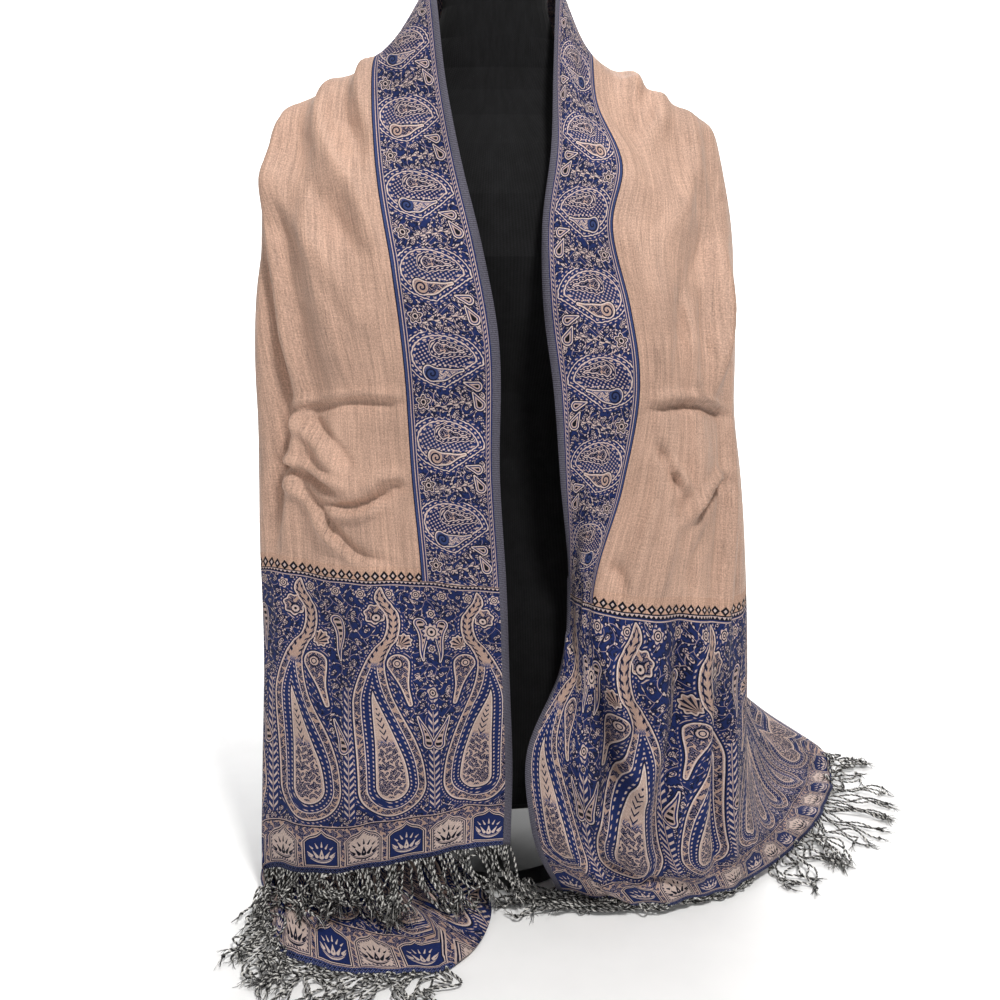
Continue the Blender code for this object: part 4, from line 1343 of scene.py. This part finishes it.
# Where the cords of each stretch end, as the middles of loose bunches: x, y, z
# in mm, how many cords each takes, and how far their ends scatter.
FRINGE = {
    "fringe_left_front": (
        # from edge_l to side_l
        ((34, -128, 32), 14, 9),
        ((-4, -140, 38), 10, 14),
        ((-40, -150, 34), 12, 8),
        ((-96, -168, 24), 20, 6),
        ((-122, -160, 28), 8, 16),
        ((-160, -156, 26), 16, 8),
        ((-198, -152, 14), 9, 14),
        ((-236, -148, 12), 9, 7),
    ),
    "fringe_left_train": (
        # from side_l to corner_l
        ((-232, -182, 5), 6, 14),
        ((-240, -214, 7), 9, 7),
        ((-216, -250, 9), 13, 6),
        ((-196, -270, 6), 8, 12),
        ((-162, -276, 5), 5, 12),
        ((-138, -284, 8), 10, 6),
        ((-92, -280, 5), 5, 14),
        ((-50, -270, 4), 4, 12),
    ),
    "fringe_right_train": (
        # from corner_r to side_r
        ((440, 203, 4), 3, 9),
        ((474, 190, 8), 8, 5),
        ((466, 148, 4), 3, 9),
        ((480, 112, 4), 3, 5),
        ((484, 80, 4), 3, 7),
        ((470, 36, 5), 5, 5),
        ((450, 8, 4), 3, 8),
        ((420, -12, 4), 3, 9),
        ((378, -52, 9), 13, 6),
        ((346, -84, 4), 4, 12),
        ((312, -104, 4), 3, 14),
    ),
    "fringe_right_front": (
        # from side_r to edge_r
        ((262, -40, 4), 4, 12),
        ((214, -62, 5), 6, 12),
        ((170, -84, 6), 8, 12),
        ((120, -104, 10), 11, 16),
        ((78, -124, 12), 14, 18),
        ((40, -130, 16), 15, 18),
        ((6, -122, 12), 12, 16),
    ),
}


def cord_route(start, end, rng, hangs):
    """A cord of its own length from the hem: down under its weight, then over
    what lies below it to its end, with the slack in loose curls."""
    steps = 44
    s = np.linspace(0, 1, steps + 1)
    along = end[:2] - start[:2]
    reach = float(np.linalg.norm(along))
    if reach > CORD * 0.93:
        along *= CORD * 0.93 / reach
    fall = max(start[2] - 4.0, 0.0)
    landing = min(0.85, fall / CORD) if hangs else min(0.25, fall / CORD)
    aside = np.array([-along[1], along[0]]) / max(np.linalg.norm(along), 1e-6)
    waves = [(rng.uniform(0.6, 1.3), rng.uniform(0, 6.28)), (rng.uniform(1.6, 2.8), rng.uniform(0, 6.28))]
    slant = rng.uniform(0.3, 0.9) if hangs else 0.25
    go = ease(s, landing * 0.4, 1.0) * (1 - slant) + s * slant
    hold = ease(s, 0.0, rng.uniform(0.12, 0.45))
    side_wave = sum(np.sin(6.283 * f * s + phase) / (1 + k) for k, (f, phase) in enumerate(waves)) * hold
    side_wave -= side_wave[0]
    forth = np.sin(6.283 * rng.uniform(0.8, 1.7) * s + rng.uniform(0, 6.28)) * hold
    heap = rng.uniform(0.0, 22.0) if hangs else rng.uniform(0.0, 5.0)
    down = start[2] - (start[2] - end[2]) * ease(s, 0.0, max(landing, 0.18))
    down = down + heap * np.sin(np.pi * np.clip((s - landing) / (1 - landing + 1e-6), 0, 1)) ** 2
    down += 1.6 * np.sin(6.283 * rng.uniform(1.0, 2.5) * s + rng.uniform(0, 6.28)) * hold
    unit_along = along / max(np.linalg.norm(along), 1e-6)

    def bent(curl):
        flat = start[None, :2] + along[None] * go[:, None]
        flat = flat + aside[None] * (side_wave * curl)[:, None] + unit_along[None] * (forth * curl * 0.45)[:, None]
        return np.concatenate([flat, down[:, None]], axis=1)

    low, high = 0.0, 26.0
    for _ in range(9):
        curl = (low + high) / 2
        run = np.linalg.norm(np.diff(bent(curl), axis=0), axis=1).sum()
        low, high = (curl, high) if run < CORD else (low, curl)
    route = bent((low + high) / 2)
    for k in range(2, steps + 1):
        x, y, z = route[k]
        hit = CLOTH_BELOW.ray_cast(Vector((x, y, max(z, 10.0) + 6.0)), Vector((0, 0, -1)), 30.0)
        ground = hit[0].z + 1.2 if hit[0] is not None and hit[0].z < 30.0 else 0.0
        route[k, 2] = max(z, ground + PLY * 2 + 0.2)
    # Once a cord has stepped over an edge it comes down in an arc, not a drop.
    for _ in range(3):
        route[2:-1, 2] = np.maximum(route[2:-1, 2], (route[1:-2, 2] + route[3:, 2]) / 2)
        route[1:-1] = route[1:-1] * 0.5 + (route[:-2] + route[2:]) * 0.25
    return route


def frames_along(route):
    ahead = unit(np.gradient(route, axis=0))
    across = np.empty_like(ahead)
    pick = np.array([0.3, 0.9, 0.2])
    for k, t in enumerate(ahead):
        pick = pick - t * pick.dot(t)
        pick = pick / max(np.linalg.norm(pick), 1e-9)
        across[k] = pick
    return ahead, across, np.cross(ahead, across)


def tube(route, radius, sides, verts, polys):
    """Adds a capped tube along a route; radius may change along it."""
    _, across, over = frames_along(route)
    radius = np.broadcast_to(radius, (len(route),))
    turn_by = np.linspace(0, 2 * np.pi, sides, endpoint=False)
    ring = (
        across[:, None] * np.cos(turn_by)[None, :, None] + over[:, None] * np.sin(turn_by)[None, :, None]
    ) * radius[:, None, None] + route[:, None]
    base = len(verts)
    verts.extend(map(tuple, ring.reshape(-1, 3)))
    for k in range(len(route) - 1):
        for j in range(sides):
            n = (j + 1) % sides
            polys.append((base + k * sides + j, base + k * sides + n, base + (k + 1) * sides + n, base + (k + 1) * sides + j))
    polys.append(tuple(base + j for j in reversed(range(sides))))
    polys.append(tuple(base + (len(route) - 1) * sides + j for j in range(sides)))


def add_cord(route, rng, verts, polys, kinds):
    """Two plies twisted round each other, a knot, and the loose tuft after it."""
    run = np.concatenate([[0], np.cumsum(np.linalg.norm(np.diff(route, axis=0), axis=1))])
    fine = np.arange(0.0, run[-1] - 9.0, 1.45)
    middle = np.stack([np.interp(fine, run, route[:, k]) for k in range(3)], axis=1)
    for _ in range(2):
        middle[1:-1] = middle[1:-1] * 0.5 + (middle[:-2] + middle[2:]) * 0.25
    ahead, across, over = frames_along(middle)
    swell = 1 + 1.5 * bump(fine, run[-1] - 13.0, 2.6) + 0.5 * bump(fine, 0.6, 1.6)
    phase = rng.uniform(0, 6.28)
    for ply in (0, 1):
        turned = 2 * np.pi * fine / TWIST + phase + np.pi * ply
        offset = across * np.cos(turned)[:, None] + over * np.sin(turned)[:, None]
        path = middle + offset * (PLY * 0.80 * swell)[:, None]
        path[:, 2] = np.maximum(path[:, 2], PLY * 1.05)
        before = len(polys)
        tube(path, PLY * swell**0.6, 5, verts, polys)
        kinds.extend([ply] * (len(polys) - before))
    # The tuft: loose ends that part after the knot.
    tip, heading = middle[-1], ahead[-1]
    for k in range(5):
        away = rng.normal(0, 0.42, 3)
        way = heading + away * np.array([1, 1, 0.5])
        way = way / np.linalg.norm(way)
        reach = rng.uniform(6.0, 13.0)
        t = np.linspace(0, 1, 5)[:, None]
        bend = rng.normal(0, 2.0, 3) * np.array([1, 1, 0.3])
        path = tip + way * t * reach + bend * t**2
        path[:, 2] -= (t[:, 0] ** 2) * max(path[-1, 2] - 2.0, 0.0) * 0.5
        path[:, 2] = np.maximum(path[:, 2], 0.5)
        before = len(polys)
        tube(path, np.linspace(0.42, 0.2, 5), 3, verts, polys)
        kinds.extend([k % 2] * (len(polys) - before))


HEM_STRETCH = {
    "fringe_left_front": (el, sl - 1),
    "fringe_left_train": (sl + 2, cl),
    "fringe_right_train": (cr, sr - 2),
    "fringe_right_front": (sr + 1, er),
}
for number, (name, bunches) in enumerate(FRINGE.items()):
    rng = np.random.default_rng(41 + number)
    first, last = HEM_STRETCH[name]
    hem = points[index[-1, first : last + 1]]
    hem_run = np.concatenate([[0], np.cumsum(np.linalg.norm(np.diff(hem, axis=0), axis=1))])
    total = sum(bunch[1] for bunch in bunches)
    verts, polys, kinds = [], [], []
    made = 0
    for middle, many, scatter in bunches:
        for _ in range(many):
            at = hem_run[-1] * (made + 0.5 + rng.uniform(-0.2, 0.2)) / total
            start = np.array([np.interp(at, hem_run, hem[:, k]) for k in range(3)])
            start[2] = max(start[2] - 0.4, PLY * 2.2)
            end = np.array(middle, float)
            end[:2] += rng.normal(0, scatter * 0.62, 2)
            end[2] = max(2.0, end[2] * rng.uniform(0.2, 1.1))
            hangs = name == "fringe_left_front"
            add_cord(cord_route(start, end, rng, hangs), rng, verts, polys, kinds)
            made += 1
    piece = mesh_of(name + "_cords", verts, polys, (yarn_dark, yarn_light))
    piece.data.polygons.foreach_set("material_index", kinds)
    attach(piece, "root")
    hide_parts(name)
    print(name, "cords", total, "triangles", sum(len(p.vertices) - 2 for p in piece.data.polygons))

# -------------------------------------------------------------------- stage
SWEEP = ((-9.0, 0.0), (2.4, 0.0), (2.9, 0.06), (3.25, 0.3), (3.4, 0.8), (3.45, 3.6))  # y, z in metres
sweep_points = [(side * 11.0 * 1000, y * 1000, z * 1000) for y, z in SWEEP for side in (-1, 1)]
sweep_faces = [(2 * k, 2 * k + 1, 2 * k + 3, 2 * k + 2) for k in range(len(SWEEP) - 1)]
floor = mesh_of("floor", sweep_points, sweep_faces, (paper,))


def light(name, place_at, aim, size, power, colour=(1, 1, 1)):
    lamp = bpy.data.lights.new(name, "AREA")
    lamp.size = size
    lamp.energy = power
    lamp.color = colour
    obj = bpy.data.objects.new(name, lamp)
    obj.location = place_at
    obj.rotation_euler = (Vector(aim) - Vector(place_at)).to_track_quat("-Z", "Y").to_euler()
    bpy.context.scene.collection.objects.link(obj)


light("key", (0.50, -1.3, 2.35), (0.0, 0, 0.5), 0.32, 47, (1.0, 0.985, 0.96))
light("fill", (-1.5, -1.6, 0.9), (0, 0, 0.4), 1.2, 7)
light("top", (0.2, 0.5, 2.7), (0, 0, 0.4), 1.8, 14)
light("sweep", (0.0, 1.9, 2.4), (0.0, 3.4, 0.6), 2.4, 140)
world = bpy.data.worlds.new("studio")
world.use_nodes = True
world.node_tree.nodes["Background"].inputs["Color"].default_value = (1, 1, 1, 1)
world.node_tree.nodes["Background"].inputs["Strength"].default_value = 0.3
bpy.context.scene.world = world
bpy.context.scene.view_settings.view_transform = "Standard"

print("shawl triangles", sum(len(p.vertices) - 2 for p in shawl.data.polygons) * 2)
